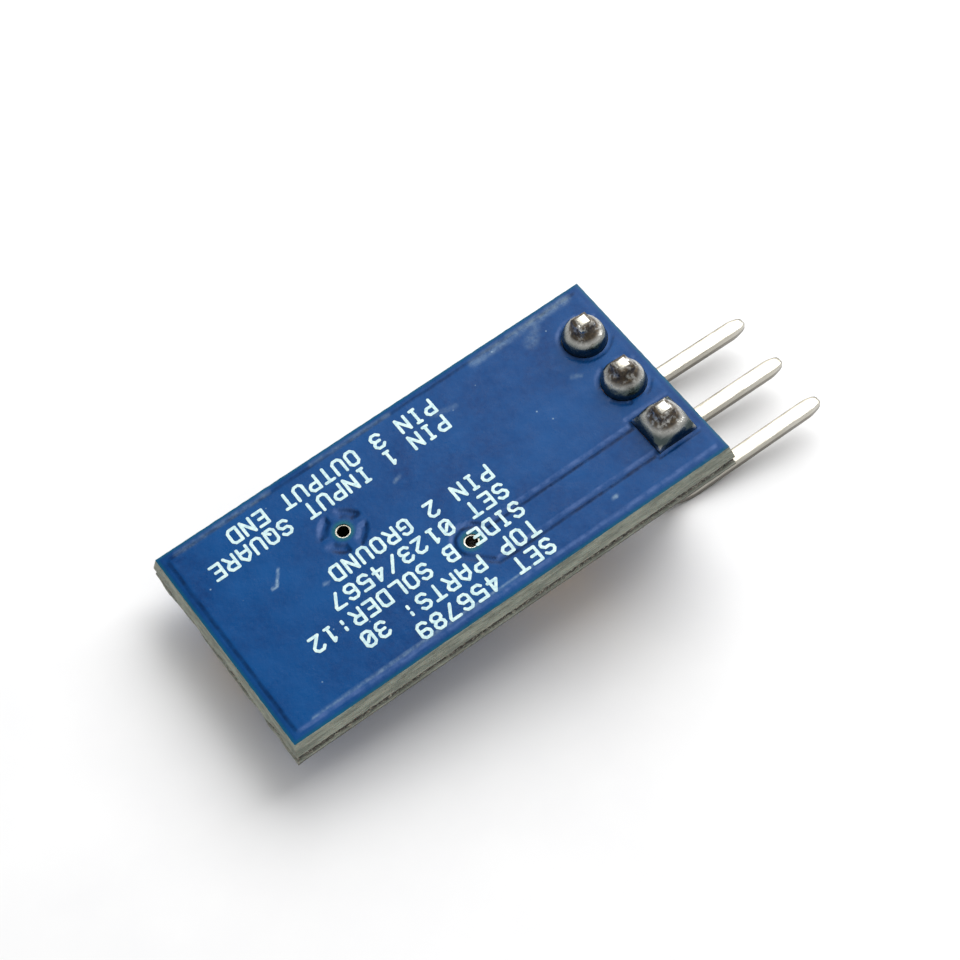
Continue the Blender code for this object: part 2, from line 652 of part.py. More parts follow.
FRAME_Z = IC_STANDOFF + IC_BODY[2] / 2


def make_chip_body():
    """The moulded case, drafted from its parting line, hollow and slotted for the leads."""
    length, width, height = IC_BODY
    body = block("chip_body", IC_BODY, draft=IC_DRAFT)
    place(body, "chip_mould", COMPONENT_SIDE, (IC_X, 0.0, FRAME_Z))
    room = (length - 2 * IC_WALL - 2 * IC_DRAFT, width - 2 * IC_WALL - 2 * IC_DRAFT,
            height - 2 * IC_WALL)
    cavity = block("chip_cavity", room)
    cut(body, place(cavity, None, COMPONENT_SIDE, (IC_X, 0.0, FRAME_Z)))
    bm = bmesh.new()
    for _, side, y in lead_rows():
        made = bmesh.ops.create_cube(bm, size=1.0)["verts"]
        bmesh.ops.scale(bm, verts=made, vec=(2 * IC_WALL + 4 * IC_DRAFT,
                        LEAD_WIDTH + 2 * FIT_GAP, LEAD_THICKNESS + 2 * FIT_GAP))
        bmesh.ops.translate(bm, verts=made, vec=(side * (length / 2 - IC_WALL), y, 0.0))
    slots = from_bmesh("chip_slots", bm)
    cut(body, place(slots, None, COMPONENT_SIDE, (IC_X, 0.0, FRAME_Z)))
    bm = bmesh.new()
    bmesh.ops.create_cone(bm, cap_ends=True, segments=ROUND_STEPS, radius1=IC_DIMPLE_RADIUS,
                          radius2=IC_DIMPLE_RADIUS, depth=2 * IC_DIMPLE_DEPTH)
    mark = (IC_X - length / 2 + IC_DIMPLE_INSET, width / 2 - IC_DIMPLE_INSET,
            IC_STANDOFF + height)
    cut(body, place(from_bmesh("chip_dimple", bm), None, COMPONENT_SIDE, mark))


def make_chip_leads():
    """Eight gull-wing leads, from their inner ends in the case to their soldered feet."""
    drop = FRAME_Z - (LEAD_THICKNESS / 2 - FOOT_DROP)
    angle = math.radians(LEAD_BEND_ANGLE)
    slope = (drop - 2 * LEAD_BEND_RADIUS * (1 - math.cos(angle))) / math.sin(angle)
    knee = IC_BODY[0] / 2 + 0.1 * MM
    run = 2 * LEAD_BEND_RADIUS * math.sin(angle) + slope * math.cos(angle)
    foot = LEAD_SPAN / 2 - knee - run
    moves = [("go", knee - LEAD_INNER_X, 1.0), ("turn", LEAD_BEND_ANGLE, LEAD_BEND_RADIUS),
             ("go", slope, 1.0), ("turn", -LEAD_BEND_ANGLE, LEAD_BEND_RADIUS),
             ("go", foot, 1.0)]
    for number, side, y in lead_rows():
        lead = bent_bar("chip_lead_%d" % number, LEAD_WIDTH, LEAD_THICKNESS,
                        (LEAD_INNER_X, 0.0, FRAME_Z), (1.0, 0.0, 0.0), moves)
        place(lead, "lead_frame", COMPONENT_SIDE, (IC_X, y, 0.0), 0.0 if side > 0 else 180.0)


def make_die():
    """The silicon die on its pad, with a bond wire to the inner end of each lead."""
    pad = block("die_pad", (*DIE_PAD, LEAD_THICKNESS))
    place(pad, "lead_frame", COMPONENT_SIDE, (IC_X, 0.0, FRAME_Z))
    low = FRAME_Z + LEAD_THICKNESS / 2 + LAYER_GAP
    place(block("silicon_die", DIE), "silicon", COMPONENT_SIDE, (IC_X, 0.0, low + DIE[2] / 2))
    top = low + DIE[2] + WIRE_RADIUS + LAYER_GAP
    lead_top = FRAME_Z + LEAD_THICKNESS / 2 + WIRE_RADIUS + LAYER_GAP
    for number, side, y in lead_rows():
        start = Vector((side * WIRE_START_X, WIRE_START_SPREAD * y, top))
        end = Vector((side * (LEAD_INNER_X + WIRE_LANDING), y, lead_top))
        rise = Vector((0.0, 0.0, WIRE_RISE))
        points = [start, start.lerp(end, 0.15) + rise, start.lerp(end, 0.6) + rise, end]
        curve = bpy.data.curves.new("bond_wire_%d" % number, "CURVE")
        curve.dimensions = "3D"
        curve.bevel_depth = WIRE_RADIUS
        curve.bevel_resolution = 1
        curve.use_fill_caps = True
        spline = curve.splines.new("POLY")
        spline.points.add(len(points) - 1)
        for point, place_of_point in zip(spline.points, points):
            point.co = (*place_of_point, 1.0)
        wire = bpy.data.objects.new(curve.name, curve)
        place(wire, "gold_wire", COMPONENT_SIDE, (IC_X, 0.0, 0.0))


# ---------------------------------------------------------------- the capacitors

def make_capacitor(name, x, y, turn, length, width, height):
    """A moulded chip capacitor: case, sintered anode with its wire, and two folded terminals."""
    case_length = length - 2 * (CAP_LEAD / 2 + CAP_LEAD_BEND + FIT_GAP)
    base = CAP_LEAD - FOOT_DROP + FIT_GAP
    size = (case_length, width, height - base)
    middle = base + size[2] / 2
    case = block(name + "_case", size, draft=CAP_DRAFT)
    place(case, "capacitor_case", COMPONENT_SIDE, (x, y, middle), turn)
    room = tuple(side - 2 * CAP_WALL for side in size)
    cut(case, place(block(name + "_room", room), None, COMPONENT_SIDE, (x, y, middle), turn))
    lead_width = CAP_LEAD_SHARE * width
    slot_size = (2 * length, lead_width + 2 * FIT_GAP, CAP_LEAD + 2 * FIT_GAP)
    slot = block(name + "_slot", slot_size)
    cut(case, place(slot, None, COMPONENT_SIDE, (x, y, middle), turn))

    low = CAP_LEAD / 2 - FOOT_DROP
    inner = case_length / 2 - CAP_WALL
    moves = [("go", length / 2 - CAP_LEAD / 2 - CAP_LEAD_BEND - inner, 1.0),
             ("turn", 90.0, CAP_LEAD_BEND), ("go", middle - low - 2 * CAP_LEAD_BEND, 1.0),
             ("turn", 90.0, CAP_LEAD_BEND), ("go", CAP_FOOT_LENGTH - CAP_LEAD_BEND, 1.0)]
    for pole, extra in (("anode", 0.0), ("cathode", 180.0)):
        terminal = bent_bar("%s_%s" % (name, pole), lead_width, CAP_LEAD,
                            (inner, 0.0, middle), (1.0, 0.0, 0.0), moves)
        place(terminal, "lead_frame", COMPONENT_SIDE, (x, y, 0.0), turn + extra)

    slug_size = [side - 2 * FIT_GAP for side in room]
    slug_size[0] = room[0] - SLUG_CLEARANCE
    bm = bmesh.new()
    bmesh.ops.create_cube(bm, size=1.0)
    bmesh.ops.scale(bm, vec=slug_size, verts=bm.verts)
    end = [f for f in bm.faces if f.normal.x > 0.9][0]
    inset = min(slug_size[1:]) / 2 - SLUG_WIRE_HALF
    bmesh.ops.inset_region(bm, faces=[end], thickness=inset)
    wire = extrude(bm, end)
    bmesh.ops.translate(bm, vec=(SLUG_WIRE_LENGTH, 0.0, 0.0), verts=wire.verts)
    slug = from_bmesh(name + "_slug", bm)
    place(slug, "tantalum", COMPONENT_SIDE, (x, y, middle), turn)


def main():
    make_core()
    make_ground_plane()
    make_input_track()
    make_plated_holes()
    make_solder_side_mask()
    make_header_pins()
    make_header_block()
    make_solder_joints()
    make_component_side_nets()
    make_component_side_mask()
    make_chip_body()
    make_chip_leads()
    make_die()
    for name, place_and_size in CAPACITORS.items():
        make_capacitor(name, *place_and_size)


main()
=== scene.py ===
"""The finished look of a three-pin voltage inverter module on a small blue circuit board.

Lengths are in metres. The board lies flat with its solder side up, and +X runs towards the
free ends of the pins. Most places are written in millimetres from the middle of one face of
the board: the solder side, or the component side, which is the solder side turned over.
"""

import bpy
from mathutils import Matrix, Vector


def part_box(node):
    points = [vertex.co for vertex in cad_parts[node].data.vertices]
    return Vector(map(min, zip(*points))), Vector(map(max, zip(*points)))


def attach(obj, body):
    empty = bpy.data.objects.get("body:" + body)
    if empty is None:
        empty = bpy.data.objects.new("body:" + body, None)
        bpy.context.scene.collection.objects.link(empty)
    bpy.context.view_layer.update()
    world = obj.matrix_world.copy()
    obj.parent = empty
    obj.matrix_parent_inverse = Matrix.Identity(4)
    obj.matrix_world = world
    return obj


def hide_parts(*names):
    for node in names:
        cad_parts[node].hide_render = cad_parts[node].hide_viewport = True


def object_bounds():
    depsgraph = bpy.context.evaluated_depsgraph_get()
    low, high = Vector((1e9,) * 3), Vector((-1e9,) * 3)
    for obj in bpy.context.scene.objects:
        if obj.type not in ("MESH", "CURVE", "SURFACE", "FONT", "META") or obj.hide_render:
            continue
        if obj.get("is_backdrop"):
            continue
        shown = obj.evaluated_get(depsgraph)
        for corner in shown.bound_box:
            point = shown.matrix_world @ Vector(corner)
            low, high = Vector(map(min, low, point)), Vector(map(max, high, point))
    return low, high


bl_info = {
    "name": "Voltage Inverter Module",
    "version": (1, 0, 0),
    "blender": (4, 5, 0),
    "location": "3D View > Sidebar > Inverter",
    "description": "Builds the detailed pieces, finishes and studio of a small circuit board",
    "category": "Object",
}

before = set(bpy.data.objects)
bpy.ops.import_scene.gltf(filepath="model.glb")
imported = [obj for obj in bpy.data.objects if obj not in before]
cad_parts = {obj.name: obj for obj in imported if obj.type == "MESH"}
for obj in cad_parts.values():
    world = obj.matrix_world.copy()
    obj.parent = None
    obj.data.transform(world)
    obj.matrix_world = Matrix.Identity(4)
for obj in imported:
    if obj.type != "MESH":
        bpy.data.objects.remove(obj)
CAD_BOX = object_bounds()

import math

import bmesh
import bpy
from bpy.props import FloatProperty, FloatVectorProperty, IntProperty, PointerProperty
from mathutils import Matrix, Vector, noise
from mathutils.bvhtree import BVHTree

MM = 0.001
# A point closer than this to an edge is on it
ON_EDGE = 0.001 * MM

# ---------------------------------------------------------------- the two faces of the board

MASK_LOW, MASK_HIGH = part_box("solder_side_mask")
BACK_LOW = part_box("component_side_mask")[0]
BOARD = MASK_HIGH - MASK_LOW
MIDDLE = (MASK_LOW + MASK_HIGH) / 2
THICKNESS = MASK_HIGH.z - BACK_LOW.z
SOLDER_SIDE = Matrix.Translation((MIDDLE.x, MIDDLE.y, MASK_HIGH.z))
COMPONENT_SIDE = (Matrix.Translation((MIDDLE.x, MIDDLE.y, BACK_LOW.z))
                  @ Matrix.Rotation(math.pi, 4, "X"))
ROLES = ("output", "ground", "input")
CAPACITORS = ("input_capacitor", "output_capacitor", "pump_capacitor")


def node_box(name, side):
    """Centre and size of a CAD node in the frame of one side of the board."""
    low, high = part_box(name)
    centre = side.inverted() @ ((low + high) / 2)
    return centre, high - low


HOLES = {role: node_box("plated_hole_" + role, SOLDER_SIDE) for role in ROLES}
VIAS = {role: node_box("via_" + role, SOLDER_SIDE) for role in ("ground", "input")}


def smooth_step(value, low, high):
    """Rises smoothly from 0 at low to 1 at high."""
    share = min(1.0, max(0.0, (value - low) / (high - low)))
    return share * share * (3.0 - 2.0 * share)


def ripple(x, y, z=0.0, scale=1.0, seed=0):
    """Smooth noise from -1 to 1, with places in metres and scale in features per millimetre."""
    factor = scale / MM
    return noise.noise(Vector((x * factor + 17.3 * seed, y * factor - 5.1 * seed, z * factor)))


# ---------------------------------------------------------------- node helpers

def feed(tree, socket, value):
    """Links an input to an output, or else sets it to a plain value."""
    if isinstance(value, bpy.types.NodeSocket):
        tree.links.new(value, socket)
    else:
        socket.default_value = value


def add_node(tree, kind, inputs=None, **settings):
    """Adds a node with its settings and its inputs, each an output or a plain value."""
    made = tree.nodes.new(kind)
    for name, value in settings.items():
        setattr(made, name, value)
    for name, value in (inputs or {}).items():
        feed(tree, made.inputs[name], value)
    return made


def coordinates(tree, stretch=(1.0, 1.0, 1.0), shift=(0.0, 0.0, 0.0)):
    """Object coordinates through a Mapping node."""
    source = add_node(tree, "ShaderNodeTexCoord").outputs["Object"]
    return add_node(tree, "ShaderNodeMapping", {
        "Vector": source, "Scale": stretch, "Location": shift,
    }).outputs["Vector"]


def grain(tree, size, detail=3.0, roughness=0.55, stretch=(1.0, 1.0, 1.0), shift=0.0):
    """Noise whose features are about as large as size."""
    return add_node(tree, "ShaderNodeTexNoise", {
        "Vector": coordinates(tree, stretch, (shift, shift, shift)), "Scale": 1.0 / size,
        "Detail": detail, "Roughness": roughness,
    }).outputs["Fac"]


def cells(tree, size, stretch=(1.0, 1.0, 1.0)):
    """Distance from the middles of Voronoi cells about as large as size."""
    return add_node(tree, "ShaderNodeTexVoronoi", {
        "Vector": coordinates(tree, stretch), "Scale": 1.0 / size,
    }).outputs["Distance"]


def layers_of_cloth(tree, thickness):
    """Wavering layers, one above another."""
    return add_node(tree, "ShaderNodeTexWave", {
        "Vector": coordinates(tree), "Scale": 0.5 / thickness, "Distortion": 3.0,
        "Detail": 4.0, "Detail Scale": 2.0,
    }, wave_type="BANDS", bands_direction="Z").outputs["Fac"]


def spread(tree, value, low, high, to_low=0.0, to_high=1.0):
    """Maps a range of values to another, and holds it there."""
    return add_node(tree, "ShaderNodeMapRange", {
        "Value": value, "From Min": low, "From Max": high, "To Min": to_low,
        "To Max": to_high,
    }).outputs["Result"]


def arithmetic(tree, operation, first, second=0.0):
    """One step of arithmetic on two values."""
    return add_node(tree, "ShaderNodeMath", {0: first, 1: second}, operation=operation).outputs[0]


def times(tree, first, second):
    """The product of two values."""
    return arithmetic(tree, "MULTIPLY", first, second)


def plus(tree, first, second):
    """The sum of two values."""
    return arithmetic(tree, "ADD", first, second)


def colour(value):
    """A socket as it is, or a plain colour made opaque."""
    return value if isinstance(value, bpy.types.NodeSocket) else (*value, 1.0)


def blend(tree, share, first, second):
    """Mixes two colours, each a socket or a plain colour."""
    made = add_node(tree, "ShaderNodeMix", data_type="RGBA")
    colours = [socket for socket in made.inputs if socket.type == "RGBA"]
    for socket, value in zip((made.inputs[0], *colours), (share, colour(first), colour(second))):
        feed(tree, socket, value)
    return next(socket for socket in made.outputs if socket.type == "RGBA")


def painted(tree, name):
    """A value painted on the mesh."""
    return add_node(tree, "ShaderNodeAttribute", attribute_name=name).outputs["Fac"]


def relief(tree, height, depth):
    """A bump whose full height is depth."""
    return add_node(tree, "ShaderNodeBump", {"Height": height, "Distance": depth}).outputs["Normal"]


def new_finish(name, **values):
    """A Principled material with plain values set on its own sockets."""
    finish = bpy.data.materials.new(name)
    finish.use_nodes = True
    shader = finish.node_tree.nodes["Principled BSDF"]
    for socket, value in values.items():
        shader.inputs[socket.replace("_", " ")].default_value = value
    return finish, finish.node_tree


def dress(finish, tone, rough=None, height=None, depth=0.0):
    """Gives a material its colour, its roughness and its bump, and returns it."""
    tree = finish.node_tree
    shader = tree.nodes["Principled BSDF"]
    feed(tree, shader.inputs["Base Color"], tone)
    if rough is not None:
        feed(tree, shader.inputs["Roughness"], rough)
    if height is not None:
        feed(tree, shader.inputs["Normal"], relief(tree, height, depth))
    return finish


# ---------------------------------------------------------------- finishes

def blue_mask_finish(looks):
    """Glossy blue solder mask: deeper off the copper, with a painted highlight on relief slopes facing
    -Y, painted shade on slopes facing +Y or -X, and scuffs.
    """
    finish, tree = new_finish("glossy_blue_mask", Specular_IOR_Level=0.12)
    tone = blend(tree, spread(tree, grain(tree, 2.6 * MM, 4.0), 0.3, 0.7),
                 looks.mask_deep, looks.mask_light)
    fine = spread(tree, grain(tree, 0.22 * MM, 5.0, 0.7), 0.35, 0.7, 0.0, 0.6)
    tone = blend(tree, fine, tone, looks.mask_light)
    off_copper = spread(tree, painted(tree, "copper"), 0.0, 1.0, 1.0, 0.0)
    tone = blend(tree, times(tree, off_copper, 0.5), tone, looks.mask_slope)
    blotches = spread(tree, grain(tree, 0.5 * MM, 4.0, 0.7, shift=0.03), 0.36, 0.6, 0.25, 0.9)
    # Painted highlight: lighter violet on relief slopes that face -Y
    thin_ink_and_lit_slope = times(tree, painted(tree, "thin_ink_and_lit_slope"), blotches)
    tone = blend(tree, thin_ink_and_lit_slope, tone, looks.mask_thin)
    # Painted shade: dark blue on relief slopes that face +Y or -X
    shaded_slope = times(tree, painted(tree, "shaded_slope"), plus(tree, blotches, 0.2))
    tone = blend(tree, shaded_slope, tone, looks.mask_thick)
    tone = blend(tree, painted(tree, "tented"), tone, looks.mask_tented)
    rubbed = spread(tree, grain(tree, 0.3 * MM, 6.0, 0.75, shift=0.01), 0.42, 0.68, 0.25, 1.0)
    worn = times(tree, rubbed, painted(tree, "worn"))
    tone = blend(tree, worn, tone, looks.mask_scuff)
    dust = spread(tree, cells(tree, 0.9 * MM), 0.02, 0.05, 0.55, 0.0)
    tone = blend(tree, dust, tone, looks.mask_scuff)
    rough = spread(tree, grain(tree, 0.6 * MM, 5.0, 0.7, shift=0.02), 0.3, 0.75, 0.2, 0.42)
    rough = plus(tree, rough, times(tree, worn, 0.3))
    skin = plus(tree, grain(tree, 0.8 * MM, 3.0), times(tree, grain(tree, 0.12 * MM, 4.0, 0.65), 0.25))
    return dress(finish, tone, rough, skin, 0.02 * MM)


def ink_finish(looks):
    """Pale printed ink, sparse in places so that the blue shows through."""
    finish, tree = new_finish("pale_ink")
    thin_ink_and_lit_slope = spread(tree, grain(tree, 0.16 * MM, 5.0, 0.7), 0.36, 0.6, 0.55, 0.0)
    tone = blend(tree, thin_ink_and_lit_slope, looks.ink, looks.ink_thin)
    return dress(finish, tone, 0.55, grain(tree, 0.07 * MM, 4.0), 0.012 * MM)


def fibreglass_finish(looks):
    """Cut fibreglass: layered cloth in resin, grey-green, with pale strands where it broke, and
    painted shade in the torn web, in pits and on the rim below the web.
    """
    finish, tree = new_finish("cut_fibreglass", Specular_IOR_Level=0.4,
                                      Subsurface_Weight=0.08, Subsurface_Scale=0.3 * MM)
    layers = layers_of_cloth(tree, 0.17 * MM)
    tone = blend(tree, spread(tree, layers, 0.25, 0.8, 0.25, 0.6), looks.resin, looks.cloth)
    strands = spread(tree, grain(tree, 0.2 * MM, 5.0, 0.75, (1.0, 1.0, 3.0)), 0.35, 0.65)
    tone = blend(tree, times(tree, strands, 0.55), tone, looks.fibre)
    torn = painted(tree, "torn")
    streaks = spread(tree, grain(tree, 0.45 * MM, 4.0, 0.65, (0.3, 0.3, 2.0), 0.05), 0.4, 0.58)
    tone = blend(tree, times(tree, streaks, 0.55), tone, looks.resin_dark)
    # Painted shade on the long sides below the torn web
    tone = blend(tree, painted(tree, "below"), tone, looks.torn_shade)
    bright = spread(tree, strands, 0.55, 1.0)
    # The torn web: pale strands over painted shade
    tone = blend(tree, torn, tone, blend(tree, bright, looks.torn_shade, looks.fibre))
    # Painted shade in small pits
    pits = spread(tree, cells(tree, 0.28 * MM, stretch=(1.0, 1.0, 2.5)), 0.05, 0.3, 0.5, 0.0)
    tone = blend(tree, pits, tone, looks.torn_shade)
    rough = spread(tree, strands, 0.0, 1.0, 0.5, 0.85)
    weave = plus(tree, times(tree, layers, 0.35),
                 grain(tree, 0.1 * MM, 5.0, 0.7))
    return dress(finish, tone, rough, weave, 0.03 * MM)


def fibre_finish(looks):
    """Single glass fibres that stand out of the break."""
    finish, tree = new_finish("glass_fibre", Transmission_Weight=0.25)
    tone = blend(tree, grain(tree, 0.1 * MM), looks.cloth, looks.fibre)
    return dress(finish, tone, 0.4)


def solder_finish(looks):
    """Bright solder with brown flux burnt on to its shoulders and a painted dark reflection on its
    foot.
    """
    finish, tree = new_finish("solder_with_flux", Specular_IOR_Level=0.6)
    crystals = spread(tree, grain(tree, 0.16 * MM, 5.0, 0.6), 0.3, 0.7)
    metal = blend(tree, crystals, looks.solder_dark, looks.solder)
    # Painted reflection: the foot of each joint is darkened to blue-black
    metal = blend(tree, painted(tree, "rim"), metal, looks.solder_painted_reflection)
    patches = spread(tree, grain(tree, 0.34 * MM, 5.0, 0.65, shift=0.0137), 0.34, 0.5)
    burnt = times(tree, patches, painted(tree, "flux"))
    flux = blend(tree, spread(tree, grain(tree, 0.14 * MM, 4.0), 0.35, 0.65),
                 looks.flux_dark, looks.flux)
    metallic = spread(tree, burnt, 0.0, 1.0, 1.0, 0.15)
    feed(tree, tree.nodes["Principled BSDF"].inputs["Metallic"], metallic)
    rough = plus(tree, spread(tree, crystals, 0.0, 1.0, 0.14, 0.3),
                 times(tree, burnt, 0.2))
    lumps = plus(tree, grain(tree, 0.3 * MM, 4.0), times(tree, crystals, 0.2))
    return dress(finish, blend(tree, burnt, metal, flux), rough, lumps, 0.035 * MM)


def tinned_finish(name, looks, along=(0.15, 1.0, 1.0), tarnish=0.3, hole=False):
    """Tin plate with fine drawn lines along one axis, a warm tarnish, and painted shade low on a pin's
    sides and deep in a hole.
    """
    finish, tree = new_finish(name, Metallic=1.0)
    lines = grain(tree, 0.09 * MM, 4.0, 0.6, along)
    warm = spread(tree, grain(tree, 1.1 * MM, 4.0, 0.6), 0.4, 0.7, 0.0, tarnish)
    tone = blend(tree, warm, looks.tin, looks.tin_warm)
    tone = blend(tree, spread(tree, lines, 0.45, 0.7, 0.0, 0.2), tone, looks.tin_warm)
    # Painted shade on the outer half of a bent pin below the board and along its +Y side
    dark = spread(tree, painted(tree, "painted_pin_shade"), 0.5, 0.6, 0.0, 0.75)
    # In a hole, painted shade darkens the wall towards the middle of the board
    if hole:
        height = add_node(tree, "ShaderNodeSeparateXYZ", {0: coordinates(tree)}).outputs["Z"]
        middle = MASK_HIGH.z - THICKNESS / 2
        away = arithmetic(tree, "ABSOLUTE", arithmetic(tree, "SUBTRACT", height, middle))
        dark = spread(tree, away, 0.6 * MM, 0.74 * MM, 0.9, 0.0)
    tone = blend(tree, dark, tone, looks.tin_painted_shade)
    rough = spread(tree, lines, 0.3, 0.7, 0.22, 0.4)
    return dress(finish, tone, rough, lines, 0.012 * MM)


def copper_finish(looks):
    """Etched copper, slightly mottled."""
    finish, tree = new_finish("etched_copper", Metallic=1.0)
    mottle = spread(tree, grain(tree, 0.5 * MM, 5.0), 0.35, 0.65)
    tone = blend(tree, mottle, looks.copper, looks.copper_dark)
    rough = spread(tree, mottle, 0.0, 1.0, 0.28, 0.5)
    return dress(finish, tone, rough, grain(tree, 0.05 * MM), 0.01 * MM)


def moulded_finish(name, base, speck, rough, pit):
    """Moulded plastic or epoxy with a fine grain and scattered specks."""
    finish, tree = new_finish(name, Specular_IOR_Level=0.45)
    fine = spread(tree, grain(tree, 0.12 * MM, 6.0, 0.75), 0.42, 0.72)
    broad = spread(tree, grain(tree, 1.6 * MM, 3.0), 0.35, 0.65, 0.0, 0.5)
    tone = blend(tree, times(tree, fine, 0.45), base, speck)
    tone = blend(tree, times(tree, broad, 0.5), tone, speck)
    return dress(finish, tone, spread(tree, broad, 0.0, 0.5, rough, rough + 0.15), fine, pit)


def banded_case_finish(looks):
    """A capacitor's moulded case with a printed band where the mesh says so."""
    finish, tree = new_finish("capacitor_case_with_band", Specular_IOR_Level=0.45)
    fine = spread(tree, grain(tree, 0.15 * MM, 5.0, 0.7), 0.35, 0.7)
    tone = blend(tree, fine, looks.case, looks.case_dark)
    tone = blend(tree, times(tree, painted(tree, "band"), spread(
        tree, grain(tree, 0.1 * MM, 4.0), 0.3, 0.45, 0.7, 1.0)), tone, looks.case_band)
    rough = spread(tree, fine, 0.0, 1.0, 0.4, 0.6)
    return dress(finish, tone, rough, fine, 0.012 * MM)


def make_finishes(looks):
    """Every finish of the module by its slot or its own short name."""
    return {
        "blue_mask": blue_mask_finish(looks),
        "ink": ink_finish(looks),
        "fibreglass": fibreglass_finish(looks),
        "fibre": fibre_finish(looks),
        "solder": solder_finish(looks),
        "tinned_pin": tinned_finish("drawn_tin_pin", looks),
        "tinned_hole": tinned_finish("tinned_hole_wall", looks, (1.0, 1.0, 1.0), 0.5, True),
        "lead_frame": tinned_finish("matte_tin_lead", looks, (1.0, 0.3, 1.0), 0.4),
        "copper": copper_finish(looks),
        "header_plastic": moulded_finish("black_header_plastic", (0.006, 0.006, 0.007),
                                         (0.016, 0.016, 0.017), 0.45, 0.01 * MM),
        "chip_mould": moulded_finish("black_chip_epoxy", (0.016, 0.016, 0.017),
                                     (0.05, 0.05, 0.05), 0.5, 0.015 * MM),
        "silicon": moulded_finish("polished_silicon", (0.09, 0.09, 0.12),
                                  (0.16, 0.15, 0.22), 0.12, 0.002 * MM),
        "gold_wire": moulded_finish("gold_bond_wire", (0.9, 0.6, 0.15),
                                    (1.0, 0.75, 0.3), 0.2, 0.001 * MM),
        "capacitor_case": banded_case_finish(looks),
        "tantalum": moulded_finish("sintered_anode", (0.03, 0.03, 0.03),
                                   (0.1, 0.1, 0.1), 0.7, 0.02 * MM),
    }


FINISHES = {}

# ---------------------------------------------------------------- mesh helpers


def finish_piece(name, bm, finish, side, replaced=(), sharp=40.0):
    """Makes a bmesh a piece of the module: placed, smooth, painted and riding on its body."""
    bmesh.ops.transform(bm, matrix=side, verts=bm.verts)
    bmesh.ops.recalc_face_normals(bm, faces=bm.faces)
    mesh = bpy.data.meshes.new(name)
    bm.to_mesh(mesh)
    bm.free()
    mesh.shade_smooth()
    mesh.set_sharp_from_angle(angle=math.radians(sharp))
    mesh.materials.append(FINISHES[finish])
    piece = bpy.data.objects.new(name, mesh)
    bpy.context.scene.collection.objects.link(piece)
    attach(piece, "root")
    if replaced:
        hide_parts(*replaced)
    return piece


def made_verts(result):
    """The vertices that a bmesh operator made."""
    return [g for g in result["geom"] if isinstance(g, bmesh.types.BMVert)]


def made_faces(result):
    """The faces that a bmesh operator made."""
    return [g for g in result["geom"] if isinstance(g, bmesh.types.BMFace)]


def bevel_edges(bm, edges, offset, segments=2):
    """Rounds edges."""
    bmesh.ops.bevel(bm, geom=edges, offset=offset, offset_type="OFFSET", segments=segments,
                    profile=0.5, affect="EDGES", material=-1, clamp_overlap=True)


def sharp_edges(bm, angle):
    """Edges whose faces meet at more than an angle in degrees."""
    bm.normal_update()
    limit = math.radians(angle)
    return [e for e in bm.edges if e.is_manifold and e.calc_face_angle(0.0) > limit]


def step_face(bm, face, keep=False):
    """Extrudes one face and returns the new one; the old face stays only as a start cap."""
    made = bmesh.ops.extrude_face_region(bm, geom=[face])
    if not keep:
        bmesh.ops.delete(bm, geom=[face], context="FACES_ONLY")
    return made_faces(made)[0]


def step_loop(bm, edges):
    """Extrudes a loop of edges and returns the new edges and vertices."""
    made = bmesh.ops.extrude_edge_only(bm, edges=edges)["geom"]
    return ([g for g in made if isinstance(g, bmesh.types.BMEdge)],
            [g for g in made if isinstance(g, bmesh.types.BMVert)])


def revolved(bm, rings, segments, shape):
    """Extrudes a circle of edges through rings, and closes both ends.

    shape(angle, ring) gives the radius and the height of one point of a ring.
    """
    start = bmesh.ops.create_circle(bm, cap_ends=False, segments=segments, radius=1.0)["verts"]
    edges = first = list({e for v in start for e in v.link_edges})
    verts = start
    for ring in rings:
        if ring is not rings[0]:
            edges, verts = step_loop(bm, edges)
        for vert in verts:
            angle = math.atan2(vert.co.y, vert.co.x)
            radius, height = shape(angle, ring)
            vert.co = (radius * math.cos(angle), radius * math.sin(angle), height)
    bmesh.ops.holes_fill(bm, edges=first + edges, sides=0)


# ---------------------------------------------------------------- the blue mask

def copper_tree(side):
    """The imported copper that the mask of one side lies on."""
    nodes = ["plated_hole_" + role for role in ROLES] + ["via_ground", "via_input"]
    if side is SOLDER_SIDE:
        nodes += ["ground_plane", "input_track"]
    else:
        nodes += sorted(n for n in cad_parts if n.startswith("net_"))
    bm = bmesh.new()
    for name in nodes:
        bm.from_mesh(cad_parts[name].data)
    tree = BVHTree.FromBMesh(bm)
    bm.free()
    return tree


def copper_gap(tree, side, x, y, depth):
    """How far a place on one side is from the nearest copper below it."""
    return tree.find_nearest(side @ Vector((x, y, -depth)))[3]


COPPER_DEPTH = node_box("ground_plane", SOLDER_SIDE)[0].z * -1.0
COPPER_TREES = {"solder": copper_tree(SOLDER_SIDE), "component": copper_tree(COMPONENT_SIDE)}


def mask_height(side_name, x, y, sink, slope):
    """Height of the mask over a place: it sinks where there is no copper under it."""
    side = SOLDER_SIDE if side_name == "solder" else COMPONENT_SIDE
    gap = copper_gap(COPPER_TREES[side_name], side, x, y, COPPER_DEPTH)
    edge = min(BOARD.x / 2 - abs(x), BOARD.y / 2 - abs(y))
    wander = 1.0 + 0.35 * ripple(x, y, scale=1.3, seed=7)
    share = smooth_step(gap, 0.0, slope * wander)
    calm = 0.55 + 0.45 * smooth_step(edge, 0.35 * MM, 0.8 * MM)
    return -sink * share * calm, 1.0 - share * calm


